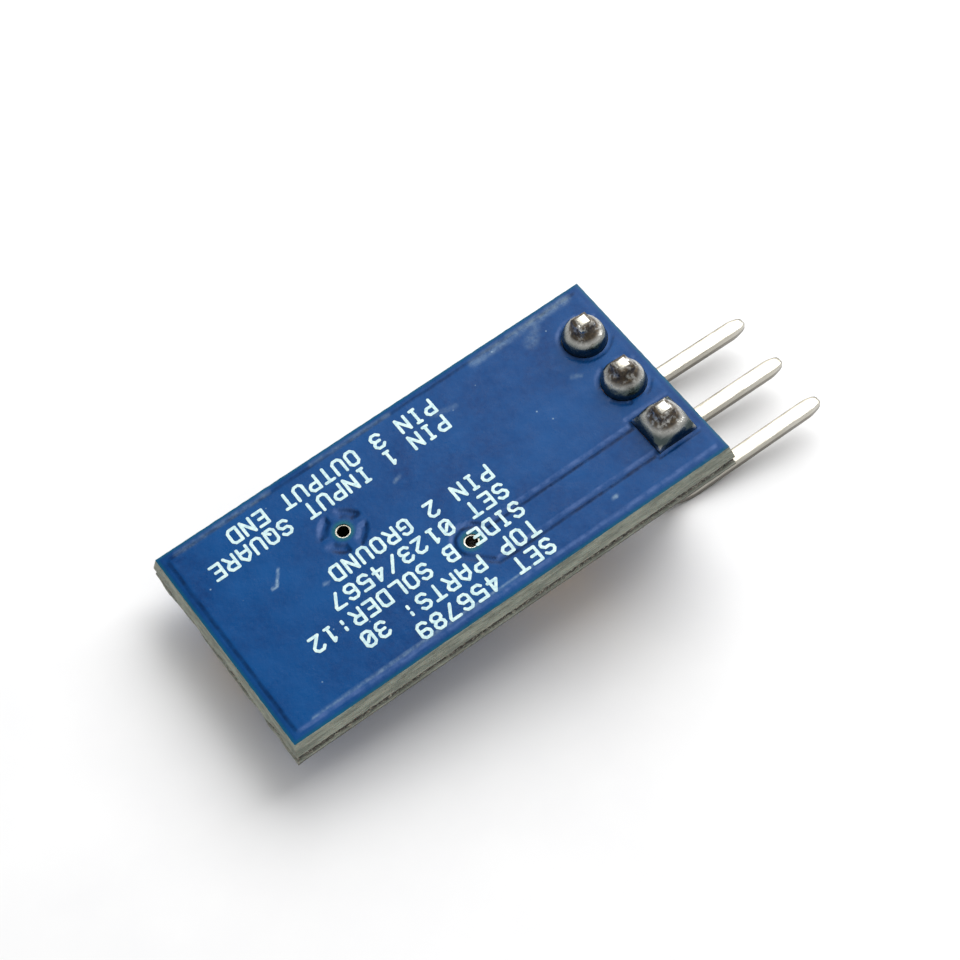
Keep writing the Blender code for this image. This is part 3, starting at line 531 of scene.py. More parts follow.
def pad_windows(side):
    """Openings of the mask over the header pads and vias, as kind, centre x, y, reach x, y."""
    margin = 0.05 * MM
    windows = []
    for role, (_, size) in HOLES.items():
        centre = node_box("plated_hole_" + role, side)[0]
        reach = size.x / 2 + margin
        kind = "box" if role == "input" else "round"
        windows.append((kind, centre.x, centre.y, reach, reach))
    for role, (_, size) in VIAS.items():
        centre = node_box("via_" + role, side)[0]
        windows.append(("round", centre.x, centre.y, size.x / 2 - 0.01 * MM, size.x / 2))
    return windows


CHIP_CENTRE, CHIP_SIZE = node_box("chip_body", COMPONENT_SIDE)
LEAD_WINDOW = (0.6 * MM, 0.3 * MM)
JUMPER_WINDOWS = ((-6.375, 3.7), (-5.375, 3.7), (-0.025, -0.6), (0.8, -0.6))


def small_windows():
    """Openings over the pads of the chip, the capacitors and the solder jumpers."""
    windows = []
    for number in range(1, 9):
        centre, size = node_box("chip_lead_%d" % number, COMPONENT_SIDE)
        way = math.copysign(1.0, centre.x - CHIP_CENTRE.x)
        tip = centre.x + way * size.x / 2
        windows.append(("box", tip - way * 0.35 * MM, centre.y, *LEAD_WINDOW))
    for name in CAPACITORS:
        middle = node_box(name + "_case", COMPONENT_SIDE)[0]
        for pole in ("anode", "cathode"):
            centre, size = node_box("%s_%s" % (name, pole), COMPONENT_SIDE)
            out = centre - middle
            along, across = (0.43 * MM, 0.8 * MM) if abs(out.x) > abs(out.y) else (
                0.3 * MM, 0.43 * MM)
            windows.append(("box", centre.x, centre.y, along, across))
    for x, y in JUMPER_WINDOWS:
        windows.append(("box", x * MM, y * MM, 0.275 * MM, 0.35 * MM))
    return windows


def inside(window, x, y):
    """Whether a place is in a window."""
    kind, cx, cy, reach_x, reach_y = window
    if kind == "round":
        return math.hypot(x - cx, y - cy) < reach_x
    return abs(x - cx) < reach_x and abs(y - cy) < reach_y


def cut_window(bm, window, cell):
    """Removes the faces inside a window and lays the rim on its outline."""
    kind, cx, cy, reach_x, reach_y = window
    gone = [f for f in bm.faces if inside(window, *f.calc_center_median().xy)]
    bmesh.ops.delete(bm, geom=gone, context="FACES")
    for vert in bm.verts:
        if not vert.is_boundary:
            continue
        x, y = vert.co.x - cx, vert.co.y - cy
        if max(abs(x) - reach_x, abs(y) - reach_y) > 1.5 * cell:
            continue
        if kind == "round":
            stretch = reach_x / max(math.hypot(x, y), 1e-9)
            vert.co.x, vert.co.y = cx + x * stretch, cy + y * stretch
        elif abs(abs(x) - reach_x) < abs(abs(y) - reach_y):
            vert.co.x = cx + math.copysign(reach_x, x)
        else:
            vert.co.y = cy + math.copysign(reach_y, y)


# Scuffs on the solder side: two ends and half width, in millimetres, and how deep they go
SCUFFS = (
    (-6.5, 1.56, -6.7, 1.3, 0.055, 0.6), (-6.7, 1.3, -6.97, 0.94, 0.06, 0.9),
    (-6.97, 0.94, -7.15, 0.98, 0.055, 0.6),
    (-5.5, -0.1, -5.35, -0.12, 0.07, 0.7), (-9.2, 4.55, -5.0, 4.6, 0.14, 0.2),
    (-3.0, 4.6, 0.6, 4.55, 0.12, 0.2), (4.6, 4.4, 9.2, 4.5, 0.22, 0.3),
    (6.9, 3.7, 7.4, 4.2, 0.3, 0.2), (2.0, 3.4, 2.9, 3.2, 0.12, 0.2),
    (-0.9, 1.9, -0.6, 2.0, 0.08, 0.3), (7.2, 1.4, 7.5, 1.25, 0.1, 0.3),
    (5.2, -3.9, 5.35, -3.9, 0.08, 0.6), (-8.9, -4.38, 1.5, -4.34, 0.05, 0.45),
)


def scuff_at(x, y):
    """How worn a place on the solder side is."""
    worn = 0.0
    for x1, y1, x2, y2, reach, deep in SCUFFS:
        start, end = Vector((x1, y1)) * MM, Vector((x2, y2)) * MM
        line = end - start
        share = min(1.0, max(0.0, (Vector((x, y)) - start).dot(line) / line.length_squared))
        away = (Vector((x, y)) - start - line * share).length
        near = 1.0 - smooth_step(away, 0.3 * reach * MM, 1.4 * reach * MM)
        worn = max(worn, deep * near)
    return worn


def build_mask(side_name, board):
    """The mask of one side: a sheet that follows the copper, open over the pads, made solid."""
    side = SOLDER_SIDE if side_name == "solder" else COMPONENT_SIDE
    windows = pad_windows(side)
    if side_name == "component":
        windows += small_windows()
    bm = bmesh.new()
    columns, rows = round(BOARD.x / board.cell), round(BOARD.y / board.cell)
    bmesh.ops.create_grid(bm, x_segments=columns, y_segments=rows, size=0.5)
    bmesh.ops.scale(bm, vec=(BOARD.x, BOARD.y, 1.0), verts=bm.verts)
    for window in windows:
        cut_window(bm, window, board.cell)
    loose = [v for v in bm.verts if not v.link_faces]
    bmesh.ops.delete(bm, geom=loose, context="VERTS")
    copper, worn, tented, thin_ink_and_lit_slope, shaded_slope = (
        bm.verts.layers.float.new(name) for name in ("copper", "worn", "tented", "thin_ink_and_lit_slope", "shaded_slope"))
    vias = [node_box("via_" + role, side)[0] for role in VIAS]
    for vert in bm.verts:
        x, y = vert.co.xy
        height, share = mask_height(side_name, x, y, board.sink, board.slope)
        edge = min(BOARD.x / 2 - abs(x), BOARD.y / 2 - abs(y))
        height -= 0.03 * MM * (1.0 - smooth_step(edge, 0.0, 0.16 * MM))
        vert.co.z = height + 0.004 * MM * ripple(x, y, scale=0.9)
        if edge < 0.2 * board.cell:
            vert.co.x *= 1.0 + 0.0012 * ripple(x, y, scale=4.0, seed=1)
            vert.co.y *= 1.0 + 0.0028 * ripple(x, y, scale=4.0, seed=2)
        vert[copper] = share
        if side_name == "solder":
            vert[worn] = scuff_at(x, y)
            near = min((Vector((x, y, 0.0)) - via).xy.length for via in vias)
            vert[tented] = max(1.0 - smooth_step(near, 0.33 * MM, 0.52 * MM),
                               0.7 - 0.7 * smooth_step(edge, 0.0, 0.15 * MM))
    bm.normal_update()
    for vert in bm.verts:
        x, y = vert.co.xy
        edge = min(BOARD.x / 2 - abs(x), BOARD.y / 2 - abs(y))
        inner = smooth_step(edge, 0.12 * MM, 0.26 * MM)
        # Painted highlight on slopes facing -Y and painted shade on slopes facing +Y or -X, chosen by
        # the slope's normal
        vert[thin_ink_and_lit_slope] = inner * smooth_step(-vert.normal.y, 0.03, 0.12)
        vert[shaded_slope] = inner * smooth_step(max(vert.normal.y, -vert.normal.x), 0.04, 0.16)
    bottom = made_verts(bmesh.ops.extrude_face_region(bm, geom=bm.faces[:]))
    for vert in bottom:
        vert.co.z = -board.skin
    finish_piece("relief_mask_%s_side" % side_name, bm, "blue_mask", side,
                 [side_name + "_side_mask"], sharp=60.0)


# ---------------------------------------------------------------- printed lettering

# Strokes on a grid four wide and six high: pairs of digits are x and y, bars part strokes
GLYPHS = {
    "A": "00 04 26 44 40|02 42", "B": "33 44 45 36 06 00 30 41 42 33 03",
    "D": "00 06 36 45 41 30 00", "E": "40 00 06 46|03 33", "G": "45 36 16 05 01 10 30 41 43 23",
    "I": "10 30|20 26|16 36", "L": "06 00 40", "N": "00 06 40 46",
    "O": "10 01 05 16 36 45 41 30 10", "P": "00 06 36 45 44 33 03",
    "Q": "10 01 05 16 36 45 41 30 10|22 40", "R": "00 06 36 45 44 33 03|23 40",
    "S": "01 10 30 41 42 33 13 04 05 16 36 45", "T": "06 46|26 20",
    "U": "06 01 10 30 41 46", "0": "10 01 05 16 36 45 41 30 10|12 34", "1": "15 26 20|10 30",
    "2": "05 16 36 45 44 00 40", "3": "05 16 36 45 44 33 13|33 42 41 30 10 01",
    "4": "30 36 02 42", "5": "46 06 03 33 42 41 30 10 01",
    "6": "45 36 16 05 01 10 30 41 42 33 03", "7": "06 46 45 10",
    "8": "13 04 05 16 36 45 44 33 13 02 01 10 30 41 42 33",
    "9": "01 10 30 41 45 36 16 05 04 13 43", "/": "00 46", ":": "21 22|24 25",
    "+": "23 03 43 23 25 21", "-": "03 43", " ": "",
}
# Text, height of its middle on the board and place of its far end, in millimetres
LINES = (
    ("PIN 3 OUTPUT END", 3.80, -7.29), ("PIN 1 INPUT SQUARE", 2.88, -8.64),
    ("PIN 2 GROUND", 0.015, -5.10), ("SET 0123/4567", -0.985, -5.74),
    ("SIDE B SOLDER:12", -2.00, -7.34), ("TOP PARTS: 30", -3.015, -5.71),
    ("SET 456789", -4.01, -3.89),
)
LINE_START = 2.27 * MM
# Marks of the hidden side: text, x and y of its first corner, in millimetres
BACK_MARKS = (("+", 6.3, 1.0), ("+", -0.3, -3.3), ("+", -7.2, 1.9), ("1", 5.5, 3.9),
              ("2", 8.4, 1.35), ("3", 6.6, -4.45), ("1", -7.6, 2.75))


def glyph_lines(character):
    """The straight strokes of a character, on the unit grid."""
    for run in filter(None, GLYPHS[character].split("|")):
        points = [Vector((int(p[0]), int(p[1]))) for p in run.split()]
        yield from zip(points, points[1:])


def ribbon(bm, start, end, half, height_at):
    """One straight stroke with round ends, laid over the relief."""
    line = end - start
    length = line.length
    ahead = line / length if length > 1e-7 else Vector((1.0, 0.0))
    across = Vector((-ahead.y, ahead.x))
    caps = (0.95, 0.72, 0.38)
    inner = max(1, round(length / (0.1 * MM)))
    stations = ([-half * c for c in caps] + [length * i / inner for i in range(inner + 1)]
                + [length + half * c for c in reversed(caps)])
    strip = bmesh.ops.create_grid(bm, x_segments=len(stations) - 1, y_segments=2,
                                  size=0.5)["verts"]
    for vert in strip:
        place = stations[round((vert.co.x + 0.5) * (len(stations) - 1))]
        over = max(0.0, -place, place - length) / half
        reach = half * math.sqrt(max(0.0, 1.0 - over * over))
        centre = start + ahead * place
        reach *= 1.0 + 0.14 * ripple(centre.x, centre.y, scale=5.0, seed=4)
        x, y = centre + across * (2.0 * vert.co.y * reach)
        crown = 0.3 * (1.0 - abs(2.0 * vert.co.y))
        vert.co = (x, y, height_at(x, y) + crown * 0.01 * MM)


def build_print(side_name, board, ink):
    """Every stroke of one side's print, raised a little over the mask."""
    side = SOLDER_SIDE if side_name == "solder" else COMPONENT_SIDE
    half = ink.stroke / 2
    unit_x = (ink.width - ink.stroke) / 4
    unit_y = (ink.height - ink.stroke) / 6
    windows = pad_windows(side)
    bm = bmesh.new()

    def height_at(x, y):
        return mask_height(side_name, x, y, board.sink, board.slope)[0] + ink.rise

    def draw(character, place, turn):
        for start, end in glyph_lines(character):
            first = place + turn * Vector((start.x * unit_x, start.y * unit_y))
            last = place + turn * Vector((end.x * unit_x, end.y * unit_y))
            wobble = Vector((ripple(*first, scale=2.0, seed=5), ripple(*last, scale=2.0, seed=6)))
            if any(inside(w, *((first + last) / 2)) for w in windows):
                continue
            ribbon(bm, first + wobble * 0.012 * MM, last, half, height_at)

    if side_name == "solder":
        for text, middle, far in LINES:
            advance = (LINE_START - far * MM - ink.width) / (len(text) - 1)
            for index, character in enumerate(text):
                place = Vector((LINE_START - half - index * advance,
                                middle * MM + (ink.height - ink.stroke) / 2))
                draw(character, place, -1.0)
    else:
        for text, x, y in BACK_MARKS:
            draw(text, Vector((x * MM, y * MM)), 1.0)
        for start, end in back_outlines():
            ribbon(bm, start, end, half, height_at)
    bmesh.ops.recalc_face_normals(bm, faces=bm.faces)
    for vert in made_verts(bmesh.ops.extrude_face_region(bm, geom=bm.faces[:])):
        vert.co.z -= 2.0 * ink.rise
    finish_piece("print_%s_side" % side_name, bm, "ink", side, sharp=50.0)


def back_outlines():
    """Printed frames round the chip and the capacitors, as pairs of ends."""
    frames = [(CHIP_CENTRE, CHIP_SIZE.x / 2 - 0.45 * MM, CHIP_SIZE.y / 2 + 0.2 * MM)]
    for name in CAPACITORS:
        centre, size = node_box(name + "_case", COMPONENT_SIDE)
        wide = size.x > size.y
        frames.append((centre, size.x / 2 - (0.3 * MM if wide else -0.2 * MM),
                       size.y / 2 + (0.2 * MM if wide else -0.3 * MM)))
    for centre, reach_x, reach_y in frames:
        corners = [Vector((centre.x + sx * reach_x, centre.y + sy * reach_y))
                   for sx, sy in ((-1, -1), (1, -1), (1, 1), (-1, 1))]
        sides = ((0, 1), (2, 3)) if reach_y < reach_x else ((1, 2), (3, 0))
        for first, last in sides:
            yield corners[first], corners[last]


# ---------------------------------------------------------------- the fibreglass

HOLE_DRILL = 0.56 * MM
VIA_DRILL = 0.31 * MM
# Share of the fibres on the long sides, and the half thickness of one
LONG_SIDE_SHARE = 0.68
FIBRE_HALF = 0.009 * MM


def board_rim(bm, board):
    """The rim of the board as rows of edges, scored above and below a torn web."""
    length, width = BOARD.x, BOARD.y
    corners = ((1, 1), (-1, 1), (-1, -1), (1, -1))
    circle = bmesh.ops.create_circle(bm, cap_ends=False, segments=4, radius=1.0)["verts"]
    for vert, (way_x, way_y) in zip(sorted(circle, key=lambda v: v.index), corners):
        vert.co = (way_x * length / 2, way_y * width / 2, -board.skin)
    for edge in list(bm.edges):
        cuts = round(edge.calc_length() / board.rim_step) - 1
        bmesh.ops.subdivide_edges(bm, edges=[edge], cuts=cuts)
    edges = first = bm.edges[:]
    high, low = -board.skin, -THICKNESS + board.skin
    torn, below = bm.verts.layers.float["torn"], bm.verts.layers.float["below"]
    for row in range(1, board.rim_rows + 1):
        edges, verts = step_loop(bm, edges)
        for vert in verts:
            vert.co.z = high + (low - high) * row / board.rim_rows
    middle, half_web = -board.web_middle, board.web / 2
    for vert in bm.verts:
        x, y, z = vert.co
        on_end = length / 2 - abs(x) < ON_EDGE
        on_side = width / 2 - abs(y) < ON_EDGE
        from_middle = abs(z - middle)
        above = (high - z) / (high - middle - half_web)
        score = min(above, (z - low) / (0.22 * MM))
        out = board.overhang * 1.1 * min(1.0, score)
        if on_end:
            out *= 1.0 + 0.45 * ripple(x, y, z, scale=1.1, seed=4)
        rough = 0.0
        if from_middle < half_web + 0.04 * MM:
            rough = smooth_step(half_web + 0.04 * MM - from_middle, 0.0, 0.12 * MM)
            out += rough * (0.05 * MM * ripple(x, y, 1.5 * z, scale=2.2, seed=1)
                            + 0.07 * MM * ripple(x, y, 2.0 * z, scale=7.0, seed=2)
                            - 0.07 * MM)
        out += 0.012 * MM * ripple(x, y, z, scale=6.0, seed=3) * min(1.0, score + 0.1)
        vert[torn] = rough
        if on_side:
            # Share of painted shade on the lower rim, under the web
            vert[below] = 0.85 * smooth_step(middle - half_web - z, 0.07 * MM, 0.17 * MM)
            vert.co.y += math.copysign(out, y)
        if on_end:
            vert.co.x += math.copysign(out, x)
    return first, edges


def build_board(board):
    """The laminate with its rim, its drilled holes and their walls."""
    bm = bmesh.new()
    bm.verts.layers.float.new("torn")
    bm.verts.layers.float.new("below")
    top, bottom = board_rim(bm, board)
    low = -THICKNESS + board.skin
    drilled = [(centre, HOLE_DRILL) for centre, _ in HOLES.values()]
    drilled += [(centre, VIA_DRILL) for centre, _ in VIAS.values()]
    for centre, radius in drilled:
        ring = bmesh.ops.create_circle(bm, cap_ends=False, segments=32, radius=radius)["verts"]
        bmesh.ops.translate(bm, vec=(centre.x, centre.y, -board.skin), verts=ring)
        edges = list({e for v in ring for e in v.link_edges})
        below, verts = step_loop(bm, edges)
        for vert in verts:
            vert.co.z = low
        top, bottom = top + edges, bottom + below
    bmesh.ops.triangle_fill(bm, edges=top, use_beauty=True)
    bmesh.ops.triangle_fill(bm, edges=bottom, use_beauty=True)
    finish_piece("fibreglass_board", bm, "fibreglass", SOLDER_SIDE,
                 ["pcb_core"], sharp=55.0)


def chance(index, seed):
    """An even spread of fixed values from 0 to 1."""
    return 0.5 + 0.5 * noise.cell(Vector((7.0 * index + 0.5, 3.0 * seed + 0.5, 0.5)))


def build_fibres(board):
    """Broken ends of glass fibre that stand out of the torn web."""
    bm = bmesh.new()
    reach_x, reach_y = BOARD.x / 2 + 0.08 * MM, BOARD.y / 2 + 0.08 * MM
    for index in range(board.fibres):
        share, pick, tilt, high, along, span = (chance(index, s) for s in range(6))
        on_long = share < LONG_SIDE_SHARE
        way = 1.0 if pick > 0.5 else -1.0
        along = along * 2.0 - 1.0
        out = Vector((0.0, way, 0.0)) if on_long else Vector((way, 0.0, 0.0))
        side = Vector((1.0, 0.0, 0.0)) if on_long else Vector((0.0, 1.0, 0.0))
        foot = side * along * (reach_x if on_long else reach_y) * 0.97
        foot += out * (reach_y if on_long else reach_x)
        foot.z = -board.web_middle + (high - 0.5) * board.web * 0.9
        lean = (out * 0.5 + side * (tilt * 2.0 - 1.0) * 1.3
                + Vector((0.0, 0.0, (pick - 0.5) * 0.5))).normalized()
        span = (0.09 + 0.2 * span) * MM
        cone = bmesh.ops.create_cone(bm, cap_ends=True, segments=5, radius1=FIBRE_HALF,
                                     radius2=FIBRE_HALF * 0.45, depth=span)["verts"]
        turn = Vector((0.0, 0.0, 1.0)).rotation_difference(lean).to_matrix().to_4x4()
        bmesh.ops.transform(bm, verts=cone,
                            matrix=Matrix.Translation(foot + lean * span * 0.3) @ turn)
    finish_piece("broken_fibres", bm, "fibre", SOLDER_SIDE, sharp=60.0)


# ---------------------------------------------------------------- solder joints, pins, header

def build_joint(role, solder):
    """Solder drawn up round a pin's tail: steep sides, a shoulder, and a collar on the tail."""
    centre, size = HOLES[role]
    foot = size.x / 2 + 0.035 * MM
    square = 1.0 if role == "input" else 0.0
    seed = ROLES.index(role) + 1
    bottom = -THICKNESS + 0.02 * MM
    high = solder.height
    # Radius, height, and how square the ring is on a square pad or round the tail
    rings = [(0.40 * MM, bottom, 0.0), (0.49 * MM, bottom, 0.0), (0.49 * MM, -0.05 * MM, 1.0),
             (foot, -0.05 * MM, 1.0), (foot, 0.02 * MM, 1.0), (foot * 0.99, 0.08 * high, 0.9),
             (foot * 0.975, 0.15 * high, 0.78), (foot * 0.95, 0.23 * high, 0.66),
             (foot * 0.91, 0.31 * high, 0.56), (foot * 0.86, 0.385 * high, 0.5),
             (foot * 0.79, 0.45 * high, 0.46), (foot * 0.71, 0.5 * high, 0.44),
             (foot * 0.63, 0.55 * high, 0.44), (foot * 0.56, 0.61 * high, 0.46),
             (foot * 0.49, 0.68 * high, 0.6), (foot * 0.435, 0.77 * high, 0.9),
             (foot * 0.395, 0.87 * high, 1.2), (foot * 0.37, 0.96 * high, 1.3),
             (foot * 0.3, 1.0 * high, 1.3), (0.15 * MM, 0.985 * high, 1.0)]

    def shape(angle, ring):
        radius, height, boxy = ring
        corner = 1.0 / max(abs(math.cos(angle)), abs(math.sin(angle)))
        rises = smooth_step(height, 0.02 * MM, 0.5 * high)
        boxy *= 0.7 if height > 0.75 * high else square
        pull = 1.0 + (corner - 1.0) * boxy
        x, y = radius * math.cos(angle), radius * math.sin(angle)
        lumps = ripple(x, y, height, scale=1.7, seed=seed) * rises
        fine = ripple(x, y, height, scale=4.5, seed=seed + 3) * rises
        lift = 0.0
        if 0.3 * high < height < 0.9 * high:
            lift = 0.09 * MM * lumps + 0.02 * MM * fine
            lift -= square * 0.1 * MM * (corner - 1.0) / 0.414
        return radius * pull * (1.0 + 0.05 * lumps), height + lift

    bm = bmesh.new()
    flux = bm.verts.layers.float.new("flux")
    rim = bm.verts.layers.float.new("rim")
    revolved(bm, rings, 64, shape)
    for vert in bm.verts:
        radius = vert.co.xy.length
        height = vert.co.z
        vert[flux] = (smooth_step(height, 0.42 * high, 0.5 * high)
                      * (1.0 - smooth_step(radius, 0.6 * foot, 0.84 * foot)))
        pointed = smooth_step(radius, 1.2 * foot, 1.34 * foot)
        # Share of the painted dark reflection: the lower flank of the joint
        vert[rim] = (1.0 - smooth_step(height, 0.32 * high, 0.48 * high)) * (1.0 - pointed)
    bmesh.ops.translate(bm, vec=(centre.x, centre.y, 0.0), verts=bm.verts)
    finish_piece("solder_cone_" + role, bm, "solder", SOLDER_SIDE,
                 ["solder_joint_" + role], sharp=70.0)


# How far each pin is bent aside, in degrees
PIN_SWING = {"input": 0.0, "ground": -0.6, "output": -1.1}
TAIL_SCALE = 0.72
TAIL_TAPER = 0.25 * MM
PIN_EDGE = 0.035 * MM
# Shares of the tip's length, and the scale of the section at the end of each
TIP_STEPS = ((0.25, 0.96), (0.25, 0.87), (0.25, 0.75), (0.15, 0.62), (0.1, 0.44))


def resize_face(face, middle, half):
    """Brings the corners of a square face to half its side from the middle, where it is."""
    for vert in face.verts:
        away = vert.co - middle
        vert.co = middle + away * (half * math.sqrt(2.0) / away.length)


def build_pin(role, pins):
    """A square pin with soft edges: tail, right-angle bend, leg and drawn tip."""
    low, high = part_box("header_pin_" + role)
    hole = HOLES[role][0]
    tail = high.z - MASK_HIGH.z
    depth = MASK_HIGH.z - low.z - pins.size / 2
    reach = high.x - MIDDLE.x - hole.x
    half, bend = pins.size / 2, pins.bend
    bm = bmesh.new()
    bmesh.ops.create_grid(bm, x_segments=1, y_segments=1, size=0.5)
    face, middle = bm.faces[:][0], Vector((0.0, 0.0, tail))
    bmesh.ops.translate(bm, vec=middle, verts=bm.verts)
    resize_face(face, middle, TAIL_SCALE * half)
    down, ahead = Vector((0.0, 0.0, -1.0)), Vector((1.0, 0.0, 0.0))
    # Direction, length and scale at the end; None is the bend
    moves = [(down, TAIL_TAPER, 1.0), (down, tail - TAIL_TAPER + depth - bend, 1.0), None]
    moves += [(ahead, reach - bend - pins.tip, 1.0)]
    moves += [(ahead, pins.tip * share, scale) for share, scale in TIP_STEPS]
    for index, move in enumerate(moves):
        if move is None:
            pivot = middle + ahead * bend
            turn = Matrix.Rotation(-math.pi / 2 / pins.bend_steps, 3, "Y")
            for _ in range(pins.bend_steps):
                face = step_face(bm, face)
                bmesh.ops.rotate(bm, cent=pivot, matrix=turn, verts=face.verts)
                middle = pivot + turn @ (middle - pivot)
            continue
        travel, length, scale = move
        face = step_face(bm, face, keep=index == 0)
        bmesh.ops.translate(bm, vec=travel * length, verts=face.verts)
        middle = middle + travel * length
        resize_face(face, middle, scale * half)
    bevel_edges(bm, sharp_edges(bm, 38.0), PIN_EDGE)
    # Painted shade share: the outer half of the bent pin below the board, and its +Y side
    painted_pin_shade = bm.verts.layers.float.new("painted_pin_shade")
    for vert in bm.verts:
        x, y, z = vert.co
        away = math.hypot(max(0.0, bend - x), max(0.0, middle.z + bend - z))
        if z < -THICKNESS:
            vert[painted_pin_shade] = 1.0 if away > bend else 0.62 * (y > 0.0)
    swing = Matrix.Rotation(math.radians(PIN_SWING[role]), 4, "Z")
    bmesh.ops.transform(bm, verts=bm.verts,
                        matrix=Matrix.Translation((hole.x, hole.y, 0.0)) @ swing)
    finish_piece("square_pin_" + role, bm, "tinned_pin", SOLDER_SIDE,
                 ["header_pin_" + role], sharp=35.0)


# The funnel round each pin in the strip
DIMPLE_INSET = 0.42 * MM
DIMPLE_DEPTH = 0.22 * MM


def build_header(pins):
    """The moulded strip: three cells, pinched between them, with a dimple round each pin."""
    centre, size = node_box("header_block", SOLDER_SIDE)
    pitch = size.y / 3
    bm = bmesh.new()
    bmesh.ops.create_grid(bm, x_segments=1, y_segments=3, size=0.5)
    bmesh.ops.scale(bm, vec=(size.x, size.y, 1.0), verts=bm.verts)
    for step in range(4):
        for way in (-1.0, 1.0):
            y = -size.y / 2 + step * pitch + way * pins.pinch
            if abs(y) < size.y / 2:
                bmesh.ops.bisect_plane(bm, geom=bm.verts[:] + bm.edges[:] + bm.faces[:],
                                       plane_co=(0.0, y, 0.0), plane_no=(0.0, 1.0, 0.0))
    for vert in bm.verts:
        share = (vert.co.y + size.y / 2) / pitch
        if abs(share - round(share)) < 1e-3:
            vert.co.x -= math.copysign(pins.pinch, vert.co.x)
    for vert in made_verts(bmesh.ops.extrude_face_region(bm, geom=bm.faces[:])):
        vert.co.z -= size.z
    bm.normal_update()
    bmesh.ops.recalc_face_normals(bm, faces=bm.faces)
    for flat in [f for f in bm.faces if abs(f.normal.z) > 0.9 and f.calc_area() > pitch ** 2 / 3]:
        bmesh.ops.inset_region(bm, faces=[flat], thickness=DIMPLE_INSET)
        bmesh.ops.translate(bm, vec=flat.normal * -DIMPLE_DEPTH, verts=flat.verts)
        bmesh.ops.inset_region(bm, faces=[flat], thickness=0.1 * MM)
    bevel_edges(bm, sharp_edges(bm, 25.0), 0.05 * MM)
    bmesh.ops.translate(bm, vec=centre + Vector((0.0, 0.0, size.z / 2)), verts=bm.verts)
    finish_piece("header_strip", bm, "header_plastic", SOLDER_SIDE,
                 ["header_block"], sharp=35.0)


# ---------------------------------------------------------------- parts of the hidden side

# The first lead's mark: its inset from both edges and its depth
MARK_INSET = 0.75 * MM
MARK_DEPTH = 0.07 * MM
# The ejector's print in the mould: its place and its depth
EJECTOR = Vector((0.9, -1.6)) * MM
EJECTOR_DEPTH = 0.02 * MM


def build_chip():
    """The chip's case: drafted both ways from its parting line, dimpled by its first lead."""
    centre, size = CHIP_CENTRE, CHIP_SIZE
    draft, cell = 0.1 * MM, 0.07 * MM
    bm = bmesh.new()
    bmesh.ops.create_grid(bm, x_segments=round(size.x / cell), y_segments=round(size.y / cell),
                          size=0.5)
    bmesh.ops.scale(bm, vec=(size.x - 2 * draft, size.y - 2 * draft, 1.0), verts=bm.verts)
    mark = Vector((MARK_INSET - size.x / 2, size.y / 2 - MARK_INSET))
    for vert in bm.verts:
        from_mark = (vert.co.xy - mark).length
        from_print = (vert.co.xy - EJECTOR).length
        vert.co.z = size.z / 2
        vert.co.z -= MARK_DEPTH * (1.0 - smooth_step(from_mark, 0.3 * MM, 0.42 * MM))
        vert.co.z -= EJECTOR_DEPTH * (1.0 - smooth_step(from_print, 0.55 * MM, 0.62 * MM))
    edges = [e for e in bm.edges if e.is_boundary]
    for z, grow in ((size.z / 2 - 0.06 * MM, 0.05), (0.05 * MM, 1.0), (0.0, 1.06),
                    (-0.05 * MM, 1.0), (-size.z / 2, 0.0)):
        edges, verts = step_loop(bm, edges)
        for vert in verts:
            vert.co.z = z
            for axis in (0, 1):
                flat = size[axis] / 2 - draft
                if abs(vert.co[axis]) > flat - 0.2 * cell:
                    vert.co[axis] = math.copysign(flat + draft * grow, vert.co[axis])
    bmesh.ops.holes_fill(bm, edges=edges, sides=0)
    bmesh.ops.translate(bm, vec=centre, verts=bm.verts)
    finish_piece("chip_case", bm, "chip_mould", COMPONENT_SIDE, ["chip_body"],
                 sharp=30.0)


# Where the printed band starts and ends, as shares of the case's length from its middle
BAND = (0.22, 0.40)


def build_capacitor(name):
    """A moulded capacitor case with soft edges and a band at its positive end."""
    centre, size = node_box(name + "_case", COMPONENT_SIDE)
    positive = node_box(name + "_anode", COMPONENT_SIDE)[0] - centre
    axis = 0 if abs(positive.x) > abs(positive.y) else 1
    way = math.copysign(1.0, positive[axis])
    bm = bmesh.new()
    bmesh.ops.create_cube(bm, size=1.0)
    bmesh.ops.scale(bm, vec=size, verts=bm.verts)
    everything = bm.verts[:] + bm.edges[:] + bm.faces[:]
    bmesh.ops.bisect_plane(bm, geom=everything, plane_co=(0.0, 0.0, 0.0),
                           plane_no=(0.0, 0.0, 1.0))
    ends = [v for v in bm.verts if abs(v.co.z) > size.z / 4]
    shrink = [1.0 - 0.12 * MM / size.x, 1.0 - 0.12 * MM / size.y, 1.0]
    bmesh.ops.scale(bm, vec=shrink, verts=ends)
    bevel_edges(bm, sharp_edges(bm, 40.0), 0.09 * MM, 3)
    normal = Vector((0.0, 0.0, 0.0))
    normal[axis] = way
    for share in BAND:
        bmesh.ops.bisect_plane(bm, geom=bm.verts[:] + bm.edges[:] + bm.faces[:],
                               plane_co=normal * size[axis] * share, plane_no=normal)
    band = bm.faces.layers.float.new("band")
    bm.normal_update()
    for face in bm.faces:
        place = face.calc_center_median()[axis] * way / size[axis]
        face[band] = 1.0 if BAND[0] < place < BAND[1] and face.normal.z > 0.5 else 0.0
    bmesh.ops.translate(bm, vec=centre, verts=bm.verts)
    finish_piece(name + "_moulding", bm, "capacitor_case", COMPONENT_SIDE,
                 [name + "_case"], sharp=40.0)


